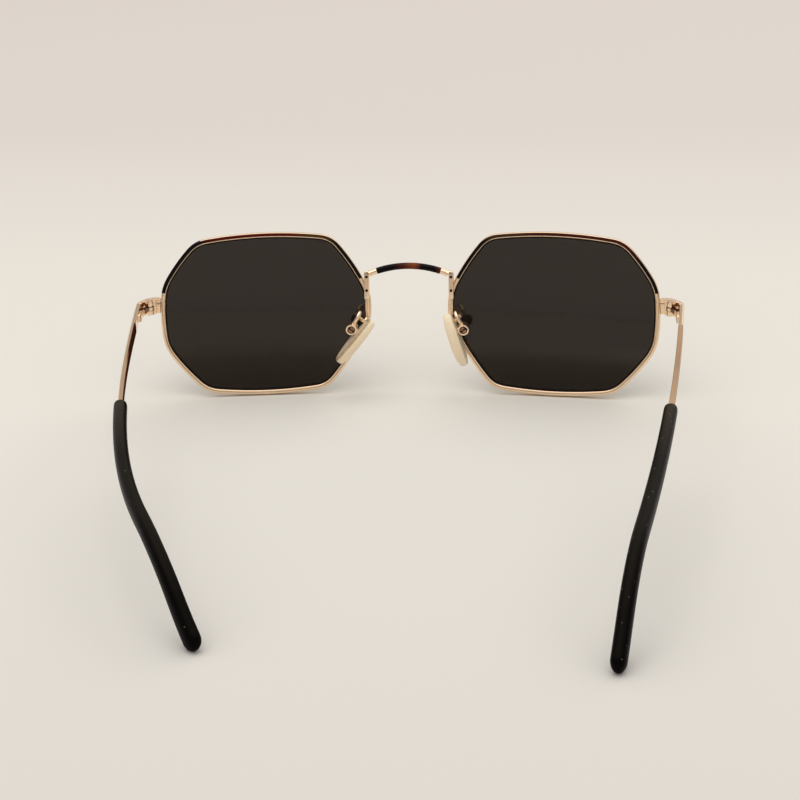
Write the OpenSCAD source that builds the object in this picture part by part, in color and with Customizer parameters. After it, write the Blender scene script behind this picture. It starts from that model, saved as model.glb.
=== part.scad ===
// Metal sunglasses with eight-sided lenses, open and standing on a table.
// They stand on the bottoms of both rims and on the ends of both temple tips.
// X runs to the wearer's left, Y from the lenses back to the ears, Z up from the table.

/* [Lenses] */
// Width of a lens across its box, bevel included
lens_width = 51; // [48:0.5:54]
// Height of a lens across its box, bevel included
lens_height = 39.3; // [38:0.1:42]
// Distance between the two lenses at the nose
lens_gap = 21; // [19.5:0.5:23]
// Thickness of a lens
lens_thick = 1.8; // [1.5:0.1:2]
// Radius of the lens surfaces
lens_radius = 260; // [200:10:500]
// Width of the bevel that sits in the rim's groove
bevel_width = 0.8; // [0.6:0.1:1]
// Height of the bevel
bevel_depth = 0.35; // [0.25:0.05:0.45]

/* [Lens outline] */
// Length of the top edge
top_edge = 33; // [30:0.2:37]
// Length of the bottom edge
bottom_edge = 29.7; // [26:0.1:33]
// Length of the short upright edge at the nose
nasal_edge = 7.3; // [7:0.1:9]
// Length of the upright edge at the temple
temporal_edge = 14.6; // [11:0.2:16]
// Height of the nasal edge's middle above the lens centre
nasal_rise = 1.4; // [0:0.2:5]
// How much the top edge falls from the nose to the temple
top_fall = 0.4; // [0:0.2:2]
// How much the bottom edge falls from the nose to the temple
bottom_fall = 0.3; // [0:0.1:2]
// How far the bottom edge is shifted towards the temple
bottom_shift = 0.4; // [0:0.1:1]
// Outward bow of every edge, as a share of its length
edge_bow = 0.038; // [0.02:0.002:0.06]
// Length of edge that each rounded corner takes
corner_length = 2.6; // [1.6:0.1:3.2]

/* [Rims] */
// Wall of the rim outside the lens
rim_wall = 0.8; // [0.6:0.05:1]
// Depth of the rim from front to back
rim_depth = 2; // [1.9:0.1:2.4]
// Width of the cut where the rim opens for the lens
rim_split = 0.12; // [0.08:0.02:0.2]
// Clearance between the lens and the rim
lens_fit = 0.04; // [0.02:0.01:0.06]
// Forward lean of the front, top towards the viewer in front
front_tilt = 9.2; // [7:0.1:11]
// Backward sweep of each half of the front
front_wrap = 6; // [3:0.5:7]

/* [Bridge] */
// Diameter of the bridge wire
bridge_dia = 1.5; // [1.2:0.1:1.8]
// Rise of the bridge's arch over its ends
bridge_rise = 2; // [1:0.1:3]
// Height of the bridge's ends above the lens centre
bridge_height = 10; // [8:0.2:10]
// Width of the upright lug behind the nasal side of a rim
lug_width = 1.4; // [1.2:0.1:1.8]
// Depth of the lug
lug_depth = 1.4; // [1.2:0.1:1.6]
// Length of the lug
lug_length = 7.2; // [6:0.2:9]
// Height of the lug above the bridge's centre line
lug_over = 0.8; // [0.8:0.1:1.2]
// Diameter of the two dimples in the back of a lug
dimple_dia = 0.8; // [0.6:0.05:0.9]
// Depth of the dimples
dimple_deep = 0.4; // [0.2:0.05:0.6]
// Distance between the dimples
dimple_pitch = 3.4; // [2.8:0.1:4]
// Distance of the upper dimple from the lug's top
dimple_drop = 1.5; // [1:0.1:2]

/* [End pieces] */
// Reach of an end piece from the rim to its outer face
end_reach = 5.5; // [5.2:0.1:6.5]
// Height of an end piece
end_height = 3.6; // [3.5:0.1:4.2]
// Height of the end piece's middle above the lens centre
end_rise = 3.3; // [1.5:0.1:4]
// Thickness of the part that turns back to the temple
end_return = 1.3; // [1.1:0.05:1.4]
// Outer radius of the end piece's corner
end_corner = 2.4; // [1.6:0.1:2.6]
// Width of the closing block between the rim and the end piece
block_width = 1.7; // [1.5:0.05:1.8]
// Depth of the closing block
block_depth = 1.5; // [1.4:0.05:1.6]
// Height of the upper half of the closing block
block_ear = 0.8; // [0.6:0.05:1]
// Diameter of the rim screw
rim_screw_dia = 0.8; // [0.6:0.05:0.9]
// Diameter of the rim screw's head
rim_head_dia = 1.2; // [1.1:0.05:1.3]
// Thickness of the rim screw's head
rim_head_thick = 0.45; // [0.3:0.05:0.6]

/* [Hinges] */
// Diameter of the hinge barrels
barrel_dia = 2.1; // [1.9:0.05:2.2]
// Height of one barrel
barrel_height = 1.1; // [0.95:0.05:1.15]
// Gap between two barrels
barrel_gap = 0.04; // [0.02:0.01:0.06]
// Diameter of the hinge screw
hinge_screw_dia = 1; // [0.8:0.05:1.1]
// Diameter of the hinge screw's head
hinge_head_dia = 1.7; // [1.5:0.05:1.9]
// Thickness of the hinge screw's head
hinge_head_thick = 0.35; // [0.25:0.05:0.5]
// Radial running clearance at every screw
bore_fit = 0.04; // [0.02:0.01:0.08]
// Distance from the end piece's outer face in to the hinge axis
hinge_inset = 3.2; // [3.1:0.05:3.4]
// Gap between the end piece and the open temple
joint_gap = 0.1; // [0.06:0.01:0.2]
// Thickness of the leaf soldered to the temple
leaf_thick = 0.75; // [0.6:0.05:0.8]
// Height of the leaf
leaf_height = 2.1; // [1.6:0.1:2.4]
// Length of the leaf
leaf_length = 6; // [4:0.5:8]

/* [Temples] */
// Length of a temple along its middle
temple_length = 145; // [140:1:150]
// Thickness of the temple bar
bar_thick = 1.2; // [1:0.05:1.3]
// Height of the temple bar at the hinge
bar_height = 3; // [2.6:0.1:3.4]
// Height of the temple bar where it enters the tip
bar_end_height = 2.4; // [2.1:0.1:2.6]
// Direction of the open left temple at the hinge, minus is inwards
open_left = -5.6; // [-6:0.1:0]
// Direction of the open right temple at the hinge, minus is inwards
open_right = -3.6; // [-6:0.1:0]
// Even inward turn of the left temple along its length
bow_left = -7.9; // [-14:0.1:0]
// Even inward turn of the right temple along its length
bow_right = -7.6; // [-14:0.1:0]
// Extra inward turn towards the end of the left temple
curl_left = -27.7; // [-40:0.1:0]
// Extra inward turn towards the end of the right temple
curl_right = -0.8; // [-10:0.1:8]
// Distance from the hinge to the middle of the ear bend
bend_place = 123.5; // [104:0.5:125]
// Angle of the ear bend
bend_angle = 42; // [30:1:46]
// Radius of the ear bend
bend_radius = 29; // [18:1:32]

/* [Temple tips] */
// Distance from the hinge to the start of the tip
tip_start = 58; // [50:1:66]
// Thickness of the tip at its start
tip_thick = 3; // [2.4:0.1:3.2]
// Height of the tip at its start
tip_height = 3.5; // [3.2:0.1:4]
// Thickness of the tip near its end
tip_end_thick = 3.2; // [2.8:0.1:3.6]
// Height of the tip near its end
tip_end_height = 4.8; // [4:0.1:6]
// Thickness of the wire core inside the tip
core_thick = 1; // [0.8:0.05:1.1]
// Height of the wire core
core_height = 1.8; // [1.4:0.05:2]
// Distance from the end of the core to the end of the tip
core_short = 10; // [6:1:16]
// Clearance around the core
core_fit = 0.05; // [0.03:0.01:0.08]

/* [Nose pads] */
// Length of a nose pad
pad_length = 14; // [12:0.5:16]
// Width of a nose pad
pad_width = 7.2; // [6.4:0.2:7.6]
// Thickness of a nose pad
pad_thick = 2.6; // [2.4:0.1:2.8]
// Radius of the pad's crowned faces
pad_crown = 70; // [20:1:90]
// Lean of a pad in the middle of its travel, top towards the nose
pad_tilt = 29; // [25:1:32]
// How far the left pad is rocked from that lean
rock_left = 11; // [-12:1:12]
// How far the right pad is rocked from that lean
rock_right = -11; // [-12:1:12]
// Distance from the pad screw to the middle of the pad, across the pad
pad_stand = 2.8; // [2.75:0.05:3.2]
// Distance from the pad screw down to the middle of the pad
pad_drop = 2.2; // [1:0.1:2.6]
// Distance of the pad screw from the nasal edge of the lens
pivot_out = 3.3; // [3:0.1:4]
// Distance of the pad screw behind the middle of the lens
pivot_back = 6.3; // [6:0.1:8]
// Depth of the pad screw below the lens centre
pivot_drop = 1.7; // [1:0.1:3.6]

/* [Pad hardware] */
// Diameter of the pad arm's wire
arm_dia = 1.1; // [0.9:0.05:1.2]
// Length of the arm's straight run below the lug
arm_run = 4.6; // [4:0.1:5.4]
// Height of the arm's loop over the pad box
arm_loop = 2.3; // [1.9:0.1:2.8]
// Diameter of the pad box
box_dia = 2.7; // [2.6:0.05:3]
// Length of the pad box along its screw
box_length = 2.8; // [2.4:0.1:3.4]
// Thickness of the tab between the cheeks of the pad box
tab_thick = 0.9; // [0.7:0.05:1]
// Diameter of the tab
tab_dia = 1.7; // [1.6:0.05:1.8]
// Side clearance of the tab
tab_fit = 0.05; // [0.03:0.01:0.08]
// Diameter of the pad screw
pad_screw_dia = 0.9; // [0.8:0.05:1]
// Diameter of the pad screw's head
pad_head_dia = 1.5; // [1.3:0.05:1.6]
// Thickness of the pad screw's head
pad_head_thick = 0.5; // [0.3:0.05:0.6]
// Gap between that head and the ring of the pad box round it
head_room = 0.22; // [0.15:0.01:0.22]
// Length of the plate inside a pad
plate_length = 7; // [5:0.5:9]
// Width of the plate inside a pad
plate_width = 3; // [2.4:0.2:4]
// Thickness of the plate inside a pad
plate_thick = 0.6; // [0.4:0.05:0.8]
// Clearance between the plate and the pad
plate_fit = 0.03; // [0.02:0.01:0.05]

/* [Hidden] */

GOLD = "#d9b27c";
SMOKE = "#35312b";
BLACK = "#141313";
IVORY = "#e9e0c4";

// Number of sides of round parts and of the large lens spheres
ROUND = 48;
SPHERE = 240;
// Left is the side at plus X
LEFT = 1;
RIGHT = -1;
// Gap between soldered pieces that follow each other's faces
SEAT = 0.02;
// Width of the driver slot in every screw's head
DRIVER_SLOT = 0.26;

// Unit vector along a vector
function unit(v) = v / norm(v);
// Vector in the plane, turned a quarter turn clockwise
function turned(v) = [v.y, -v.x];
// Where two lines through p and q, along u and v, meet in the plane
function meet(p, u, q, v) = p + u * ((q - p) * turned(v)) / (u * turned(v));

// Lens corners, counter-clockwise from the upper temporal one
top_mid = lens_height / 2 - edge_bow * top_edge;
bottom_mid = -lens_height / 2 + edge_bow * bottom_edge;
nasal_x = -lens_width / 2 + edge_bow * nasal_edge;
temporal_x = lens_width / 2 - edge_bow * temporal_edge;
lens_corners = [
  [top_edge / 2, top_mid - top_fall / 2],
  [-top_edge / 2, top_mid + top_fall / 2],
  [nasal_x, nasal_rise + nasal_edge / 2],
  [nasal_x, nasal_rise - nasal_edge / 2],
  [bottom_shift - bottom_edge / 2, bottom_mid + bottom_fall / 2],
  [bottom_shift + bottom_edge / 2, bottom_mid - bottom_fall / 2],
  [temporal_x, -temporal_edge / 2],
  [temporal_x, temporal_edge / 2]
];
// Steps along each bowed edge and round each corner
EDGE_STEPS = 5;
CORNER_STEPS = 5;
function corner(i) = lens_corners[(i + 8) % 8];
function edge_length(i) = norm(corner(i + 1) - corner(i));
function edge_out(i) = unit(turned(corner(i + 1) - corner(i)));
// Point on the bowed edge after corner i, for t from 0 to 1
function edge_point(i, t) = corner(i) + (corner(i + 1) - corner(i)) * t
  + edge_out(i) * edge_bow * edge_length(i) * 4 * t * (1 - t);
// Direction of that edge at t
function edge_way(i, t) = unit((corner(i + 1) - corner(i))
  + edge_out(i) * edge_bow * edge_length(i) * 4 * (1 - 2 * t));
function edge_in(i) = corner_length / edge_length(i);
// Control point of the round at corner i
function corner_control(i) = meet(
  edge_point(i - 1, 1 - edge_in(i - 1)), edge_way(i - 1, 1 - edge_in(i - 1)),
  edge_point(i, edge_in(i)), edge_way(i, edge_in(i)));
function curve3(a, b, c, t) = a * (1 - t) * (1 - t) + b * 2 * t * (1 - t) + c * t * t;
lens_outline = [for (i = [0:7]) each concat(
  [for (k = [1:CORNER_STEPS - 1]) curve3(edge_point(i - 1, 1 - edge_in(i - 1)),
    corner_control(i), edge_point(i, edge_in(i)), k / CORNER_STEPS)],
  [for (k = [0:EDGE_STEPS]) edge_point(i, edge_in(i) + (1 - 2 * edge_in(i)) * k / EDGE_STEPS)]
)];
OUTLINE_COUNT = len(lens_outline);
function outline_point(i) = lens_outline[(i + OUTLINE_COUNT) % OUTLINE_COUNT];
// The lens outline moved outwards by grow
function outline(grow) = [for (i = [0:OUTLINE_COUNT - 1])
  outline_point(i) + unit(turned(outline_point(i + 1) - outline_point(i - 1))) * grow];

// Height of the curved middle surface, raised by lift, over the lens plane
function surface_z(x, y, lift) = sqrt(pow(lens_radius + lift, 2) - x * x - y * y) - lens_radius;
// A point given in the lens's own frame, turned into the frame of the whole front
function leaned(p) = [
  p.x * cos(front_wrap) + (p.y * sin(front_tilt) + p.z * cos(front_tilt)) * sin(front_wrap),
  p.x * sin(front_wrap) - (p.y * sin(front_tilt) + p.z * cos(front_tilt)) * cos(front_wrap),
  p.y * cos(front_tilt) - p.z * sin(front_tilt)
];
// The rim's outer edges, front and back, with the lens centre at the origin
rim_edges = [for (p = outline(rim_wall)) for (lift = [rim_depth / 2, -rim_depth / 2])
  leaned([p.x, p.y, surface_z(p.x, p.y, lift)])];
// Centre of the left lens
lens_at = [
  lens_gap / 2 + lens_width / 2 * cos(front_wrap),
  0,
  -min([for (p = rim_edges) p.z])
];
front_most = min([for (p = rim_edges) p.y]);

// Middle of the rim where the end piece meets it
rim_side_x = lens_width / 2 + rim_wall;
rim_side = lens_at + leaned([rim_side_x, end_rise, surface_z(rim_side_x, end_rise, 0)]);
end_back = rim_side.y + rim_depth / 2;
end_front = rim_side.y - rim_depth / 2;
end_outer = rim_side.x + end_reach;
end_z = lens_at.z + end_rise;
block_x = rim_side.x + block_width;

// The hinge axis stands on the back of the end piece
HINGE_STAND = 0.1;
hinge_at = [end_outer - hinge_inset, end_back + barrel_dia / 2 + HINGE_STAND, end_z];
hinge_base_in = 1.5;
hinge_base_out = 1.25;
barrel_step = barrel_height + barrel_gap;

// The temple starts just behind the end piece
bar_at = [end_outer - bar_thick / 2, hinge_at.y + joint_gap, end_z];
STEP = 2.9;
bend_half = bend_radius * bend_angle * PI / 360;
// Downward turn of a temple after a length of s
function bend_at(s) = bend_angle * max(0, min(1, (s - bend_place + bend_half) / (2 * bend_half)));
function open_of(side) = side == LEFT ? open_left : open_right;
function bow_of(side) = side == LEFT ? bow_left : bow_right;
function curl_of(side) = side == LEFT ? curl_left : curl_right;
// Direction of a temple seen from above after a length of s
function plan_at(side, s) = open_of(side) + bow_of(side) * s / temple_length
  + curl_of(side) * pow(s / temple_length, 3);
// Direction of a temple in space
function temple_way(side, s, slope) = let (rise = slope - bend_at(s), plan = plan_at(side, s))
  [cos(rise) * sin(plan), cos(rise) * cos(plan), sin(rise)];
TEMPLE_STEPS = ceil(temple_length / STEP);
temple_step = temple_length / TEMPLE_STEPS;
// Points along a temple's middle, one step apart
function temple_points(side, slope) = [for (i = 0, p = bar_at; i <= TEMPLE_STEPS; i = i + 1,
  p = p + temple_way(side, (i - 0.5) * temple_step, slope) * temple_step) p];
// A temple's middle at a length of s, found between those points
function temple_point(points, s) = let (
    i = max(0, min(TEMPLE_STEPS - 1, floor(s / temple_step))),
    f = s / temple_step - i)
  points[i] * (1 - f) + points[i + 1] * f;

// Half height and half thickness of the tip along it
TIP_ROUND = 2.4;
COLLAR = 0.7;
// Roundness and number of sides of a tip's section
TIP_POWER = 0.85;
TIP_SIDES = 16;
TIP_FULL = pow(sin(90 - 180 / TIP_SIDES), TIP_POWER);
function tip_share(s) = max(0, min(1, (s - tip_start) / (temple_length - TIP_ROUND - tip_start)));
// How far the rounded ends of a tip draw its section in
function tip_close(s) = let (
    tail = max(0, s - temple_length + TIP_ROUND) / TIP_ROUND,
    lead = max(0, tip_start + COLLAR - s) / COLLAR)
  sqrt(max(0, 1 - tail * tail)) * (1 - 0.2 * (1 - sqrt(max(0, 1 - lead * lead))));
function tip_size(s) = [
  (tip_thick + (tip_end_thick - tip_thick) * tip_share(s)),
  (tip_height + (tip_end_height - tip_height) * tip_share(s))] * tip_close(s);
// Lengths at which the tip has a section, closer together at both rounded ends
tip_body_from = tip_start + COLLAR;
tip_body_to = temple_length - TIP_ROUND;
TIP_STEPS = 26;
tip_places = concat(
  [for (a = [0:30:60]) tip_start + COLLAR * (1 - cos(a))],
  [for (i = [0:TIP_STEPS]) tip_body_from + (tip_body_to - tip_body_from) * i / TIP_STEPS],
  [for (a = [20:16:84]) tip_body_to + TIP_ROUND * sin(a)]);
// Lowest height that a temple's tip reaches at a slope
function tip_low(side, slope) = let (points = temple_points(side, slope))
  min([for (s = tip_places) temple_point(points, s).z
    - tip_size(s).y / 2 * cos(slope - bend_at(s)) * TIP_FULL]);
// Slope at which the tip just stands on the table, from two trial slopes
function temple_slope(side) = let (a = tip_low(side, -3), b = tip_low(side, -1)) -3 - a * 2 / (b - a);
slope_left = temple_slope(LEFT);
slope_right = temple_slope(RIGHT);
points_left = temple_points(LEFT, slope_left);
points_right = temple_points(RIGHT, slope_right);
function slope_of(side) = side == LEFT ? slope_left : slope_right;
function points_of(side) = side == LEFT ? points_left : points_right;

// Middle of the object from front to back, which is moved to the origin
back_most = max([for (side = [LEFT, RIGHT]) for (s = tip_places)
  for (q = temple_ring(side, s, tip_size(s), TIP_POWER, TIP_SIDES)) q.y]);
mid_y = (front_most + back_most) / 2;

// Lug behind the rim's nasal edge, upright in the leaning front
lug_mid_x = lens_gap / 2;
lug_top = bridge_height + lug_over;
// The rim's back edges, with the lens centre at the origin
rim_back = [for (p = concat(outline(rim_wall), outline(-bevel_depth)))
  leaned([p.x, p.y, surface_z(p.x, p.y, -rim_depth / 2)])];
// The rearmost of them at the lug, followed along the leaning front to the lens centre's height
lug_plane_y = max([for (p = rim_back)
  if (p.x < lug_mid_x - lens_at.x + lug_width && abs(p.z - lug_top + lug_length / 2) < lug_length)
    p.y + p.z * tan(front_tilt)]);
// Bottom of the lug, where the pad arm starts
function front_point(x, back, up) = [
  x,
  lens_at.y + lug_plane_y + back * cos(front_tilt) - up * sin(front_tilt),
  lens_at.z + back * sin(front_tilt) + up * cos(front_tilt)
];
arm_from = front_point(lug_mid_x, lug_depth / 2, lug_top - lug_length - SEAT);

// The pad box sits on the pad screw, in the middle of the pad's travel
pad_pivot = [lens_gap / 2 + pivot_out, pivot_back, lens_at.z - pivot_drop];
function boxed(p) = pad_pivot + [
  p.x * cos(pad_tilt) - p.z * sin(pad_tilt),
  p.y,
  p.x * sin(pad_tilt) + p.z * cos(pad_tilt)
];
arm_to_x = 0.1;
// Bends of the arm, off the pad screw: its lowest turn, its climb, and the crest and fall of its loop
ARM_TURN = [-2.3, -4.8, 0.35];
arm_crest = [-1.85, -1.4, box_dia / 2 + arm_loop];
arm_climb = arm_crest + [1.05, -2.35, -1.2];
arm_fall = arm_crest + [0.2, 1.25, -0.6];
// Points that the pad arm passes, from the lug down, back and over to the pad box
arm_knots = [
  arm_from,
  front_point(lug_mid_x, lug_depth / 2, lug_top - lug_length - arm_run / 2),
  front_point(lug_mid_x, lug_depth / 2, lug_top - lug_length - arm_run),
  pad_pivot + ARM_TURN,
  pad_pivot + arm_climb,
  pad_pivot + arm_crest,
  pad_pivot + arm_fall,
  boxed([arm_to_x, 0, box_dia / 2 + arm_dia / 2]),
  boxed([arm_to_x, 0, box_dia / 2 + SEAT])
];
ARM_STEPS = 4;
// Smooth curve through the knots
function arm_knot(i) = arm_knots[max(0, min(len(arm_knots) - 1, i))];
function smooth(a, b, c, d, t) = 0.5 * (2 * b + (c - a) * t
  + (2 * a - 5 * b + 4 * c - d) * t * t + (3 * b - a - 3 * c + d) * t * t * t);
arm_path = concat(
  [for (i = [0:len(arm_knots) - 2]) for (k = [0:ARM_STEPS - 1])
    smooth(arm_knot(i - 1), arm_knot(i), arm_knot(i + 1), arm_knot(i + 2), k / ARM_STEPS)],
  [arm_knots[len(arm_knots) - 1]]);

// A closed skin over rings of points, all with the same number of points
module skin(rings) {
  count = len(rings[0]);
  last = len(rings) - 1;
  polyhedron(
    points = [for (ring = rings) each ring],
    faces = concat(
      [[for (k = [0:count - 1]) k]],
      [for (i = [0:last - 1]) for (k = [0:count - 1]) each [
        [i * count + k, (i + 1) * count + k, (i + 1) * count + (k + 1) % count],
        [i * count + k, (i + 1) * count + (k + 1) % count, i * count + (k + 1) % count]]],
      [[for (k = [count - 1:-1:0]) last * count + k]]),
    convexity = 6);
}

// One ring round p, across the direction way; power rounds it from a circle towards a box
function ring(p, way, size, power, count) = let (
    across = unit([way.y, -way.x, 0]),
    up = cross(across, way))
  [for (k = [0:count - 1]) let (a = (k + 0.5) * 360 / count)
    p + across * size.x / 2 * sign(cos(a)) * pow(abs(cos(a)), power)
      + up * size.y / 2 * sign(sin(a)) * pow(abs(sin(a)), power)];

// A ring on a temple at a length of s
function temple_ring(side, s, size, power, count) = ring(temple_point(points_of(side), s),
  temple_way(side, s, slope_of(side)), size, power, count);

// Everything is drawn on the left and mirrored for the right
module on_side(side) {
  translate([0, -mid_y, 0])
    mirror([side == LEFT ? 0 : 1, 0, 0])
      children();
}

// The lens's own frame, Z out of its front
module on_lens() {
  translate(lens_at)
    rotate([0, 0, front_wrap])
      rotate([90 + front_tilt, 0, 0])
        children();
}

// The lens outline as a tall prism
module outline_prism(grow) {
  reach = 5;
  translate([0, 0, -reach])
    linear_extrude(2 * reach)
      polygon(outline(grow));
}

// A thin curved layer of a given thickness round the lens's middle surface
module curved_layer(thick) {
  translate([0, 0, -lens_radius])
    difference() {
      sphere(r = lens_radius + thick / 2, $fn = SPHERE);
      sphere(r = lens_radius - thick / 2, $fn = SPHERE);
    }
}

// How far the cut reaches past the middle of the rim wall
CUT_REACH = 3;
module rim(side) {
  color(GOLD)
    on_side(side)
      difference() {
        on_lens()
          difference() {
            intersection() {
              outline_prism(rim_wall);
              curved_layer(rim_depth);
            }
            outline_prism(-bevel_depth);
            intersection() {
              outline_prism(lens_fit);
              curved_layer(bevel_width + 2 * lens_fit);
            }
          }
        translate([rim_side.x - CUT_REACH, rim_side.y - CUT_REACH, ear_z - rim_split])
          cube([2 * CUT_REACH, 2 * CUT_REACH, rim_split]);
      }
}

module lens(side) {
  color(SMOKE)
    on_side(side)
      on_lens()
        union() {
          intersection() {
            outline_prism(-bevel_depth - lens_fit);
            curved_layer(lens_thick);
          }
          intersection() {
            outline_prism(0);
            curved_layer(bevel_width);
          }
        }
}

// Frame of the leaning front between the rims, Z up along it, Y straight back through it
module on_front() {
  translate([0, lens_at.y + lug_plane_y, lens_at.z])
    rotate([front_tilt, 0, 0])
      children();
}

module bridge() {
  half = lug_mid_x - lug_width / 2;
  arch = (half * half + bridge_rise * bridge_rise) / (2 * bridge_rise);
  sweep = 2 * asin(half / arch) + 8;
  color(GOLD)
    on_side(LEFT)
      on_front()
        intersection() {
          translate([0, lug_depth / 2, bridge_height + bridge_rise - arch])
            rotate([90, 0, 0])
              rotate([0, 0, 90 - sweep / 2])
                rotate_extrude(angle = sweep, $fn = 4 * ROUND)
                  translate([arch, 0])
                    circle(d = bridge_dia, $fn = ROUND);
          translate([-half, -bridge_dia, 0])
            cube([2 * half, 2 * bridge_dia + lug_depth, 2 * bridge_height + bridge_rise]);
        }
}

module bridge_lug(side) {
  color(GOLD)
    on_side(side)
      on_front()
        translate([lug_mid_x, SEAT, lug_top - lug_length])
          difference() {
            translate([-lug_width / 2, 0, 0])
              cube([lug_width, lug_depth, lug_length]);
            for (k = [0, 1])
              translate([0, lug_depth - dimple_deep, lug_length - dimple_drop - k * dimple_pitch])
                rotate([-90, 0, 0])
                  cylinder(d = dimple_dia, h = 1, $fn = ROUND);
          }
}

// How far outside the middle of the rim's wall the end piece begins
END_START = 0.15;
// Plan of the end piece, from the rim round its corner to the temple
function end_plan() = concat(
  [[rim_side.x + END_START, end_front], [end_outer - end_corner, end_front]],
  [for (a = [-85:5:0]) [end_outer - end_corner, end_front + end_corner] + end_corner * [cos(a), sin(a)]],
  [[end_outer, hinge_at.y], [end_outer - end_return, hinge_at.y], [end_outer - end_return, end_back],
   [block_x + SEAT, end_back], [block_x + SEAT, end_back - block_depth - SEAT],
   [rim_side.x + END_START, end_back - block_depth - SEAT]]);

module end_piece(side) {
  color(GOLD)
    on_side(side)
      translate([0, 0, end_z - end_height / 2])
        linear_extrude(end_height)
          polygon(end_plan());
}

rim_screw_x = (rim_side.x + block_x) / 2 + 0.05;
rim_screw_y = end_back - block_depth / 2;
ear_z = end_z + end_height / 2 - block_ear;

// A slice of the closing block from one height to another, shaped to the rim
module block_slice(from_z, to_z) {
  difference() {
    translate([rim_side.x - 1, end_back - block_depth, from_z])
      cube([block_x - rim_side.x + 1, block_depth, to_z - from_z]);
    translate([rim_screw_x, rim_screw_y, from_z - 1])
      cylinder(d = rim_screw_dia + 2 * bore_fit, h = to_z - from_z + 2, $fn = ROUND);
    on_lens()
      outline_prism(rim_wall + SEAT);
  }
}

module closing_block(side) {
  color(GOLD)
    on_side(side)
      difference() {
        block_slice(end_z - end_height / 2, ear_z - rim_split);
        translate([rim_screw_x, rim_screw_y, end_z - end_height / 2 - 1])
          cylinder(d = rim_head_dia + 2 * bore_fit, h = 1 + rim_head_thick + bore_fit, $fn = ROUND);
      }
}

module closing_ear(side) {
  color(GOLD)
    on_side(side)
      block_slice(ear_z, end_z + end_height / 2);
}

// How far the rim screw's end stays below the top of the block
SCREW_SHORT = 0.1;
module rim_screw(side) {
  color(GOLD)
    on_side(side)
      translate([rim_screw_x, rim_screw_y, end_z - end_height / 2])
        difference() {
          union() {
            cylinder(d = rim_head_dia, h = rim_head_thick, $fn = ROUND);
            cylinder(d = rim_screw_dia, h = end_height - SCREW_SHORT, $fn = ROUND);
          }
          translate([-1, -DRIVER_SLOT / 2, -1])
            cube([2, DRIVER_SLOT, 1 + rim_head_thick / 2]);
        }
}

// Two barrels on one foot, with a slot for the temple's barrel between them
module hinge_front(side) {
  low = end_z - barrel_step - barrel_height / 2;
  slot = barrel_height + 2 * barrel_gap;
  color(GOLD)
    on_side(side)
      difference() {
        translate([hinge_at.x, hinge_at.y, low])
          linear_extrude(2 * barrel_step + barrel_height)
            difference() {
              union() {
                circle(d = barrel_dia, $fn = ROUND);
                translate([-hinge_base_in, end_back - hinge_at.y])
                  square([hinge_base_in + hinge_base_out, hinge_at.y - end_back]);
              }
              circle(d = hinge_screw_dia + 2 * bore_fit, $fn = ROUND);
            }
        translate([hinge_at.x - barrel_dia / 2 - HINGE_STAND, hinge_at.y - barrel_dia, end_z - slot / 2])
          cube([2 * barrel_dia, 2 * barrel_dia, slot]);
      }
}

module hinge_screw(side) {
  color(GOLD)
    on_side(side)
      translate([hinge_at.x, hinge_at.y, end_z - barrel_step - barrel_height / 2])
        difference() {
          union() {
            cylinder(d = hinge_screw_dia, h = 2 * barrel_step + barrel_height + SEAT, $fn = ROUND);
            translate([0, 0, 2 * barrel_step + barrel_height + SEAT])
              cylinder(d = hinge_head_dia, h = hinge_head_thick, $fn = ROUND);
          }
          translate([-1, -DRIVER_SLOT / 2, 2 * barrel_step + barrel_height + SEAT + hinge_head_thick / 2])
            cube([2, DRIVER_SLOT, 1]);
        }
}

// The leaf lies along the temple's inner face, and a foot joins it to the barrel
LEAF_FOOT = 0.3;
LEAF_START = 1.4;
module hinge_leaf(side) {
  color(GOLD)
    on_side(side)
      difference() {
        union() {
          translate([hinge_at.x, hinge_at.y, end_z - barrel_height / 2])
            cylinder(d = barrel_dia, h = barrel_height, $fn = ROUND);
          translate([bar_at.x, bar_at.y, end_z])
            rotate([0, 0, -open_of(side)]) {
              translate([hinge_at.x - bar_at.x, LEAF_FOOT, -barrel_height / 2])
                cube([bar_at.x - hinge_at.x - bar_thick / 2 - joint_gap / 2, LEAF_START, barrel_height]);
              translate([-bar_thick / 2 - joint_gap / 2 - leaf_thick, LEAF_START, -leaf_height / 2])
                cube([leaf_thick, leaf_length, leaf_height]);
            }
        }
        translate([hinge_at.x, hinge_at.y, end_z - barrel_height])
          cylinder(d = hinge_screw_dia + 2 * bore_fit, h = 2 * barrel_height, $fn = ROUND);
      }
}

// Rings of the core, or of its channel in the tip, from one length to another
CORE_STEPS = 24;
function core_rings(side, from, to, fit) = [for (i = [0:CORE_STEPS])
  temple_ring(side, from + (to - from) * i / CORE_STEPS,
    [core_thick + 2 * fit, core_height + 2 * fit], 0.5, 16)];

// The bar and the thinner core inside the tip are one wire
BAR_STEPS = 16;
SHOULDER_GAP = 0.1;
module temple_bar(side) {
  shoulder = tip_start - SHOULDER_GAP;
  color(GOLD)
    on_side(side)
      skin(concat(
        [for (i = [0:BAR_STEPS]) let (s = shoulder * i / BAR_STEPS)
          temple_ring(side, s, [bar_thick, bar_height + (bar_end_height - bar_height) * s / tip_start],
            0.35, 16)],
        core_rings(side, shoulder, temple_length - core_short, 0)));
}

// One skin, from the bottom of the channel out to the mouth and back along the outside
module temple_tip(side) {
  color(BLACK)
    on_side(side)
      skin(concat(
        core_rings(side, temple_length - core_short + 4 * core_fit, tip_start, core_fit),
        [for (s = tip_places) temple_ring(side, s, tip_size(s), TIP_POWER, TIP_SIDES)]));
}

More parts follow.
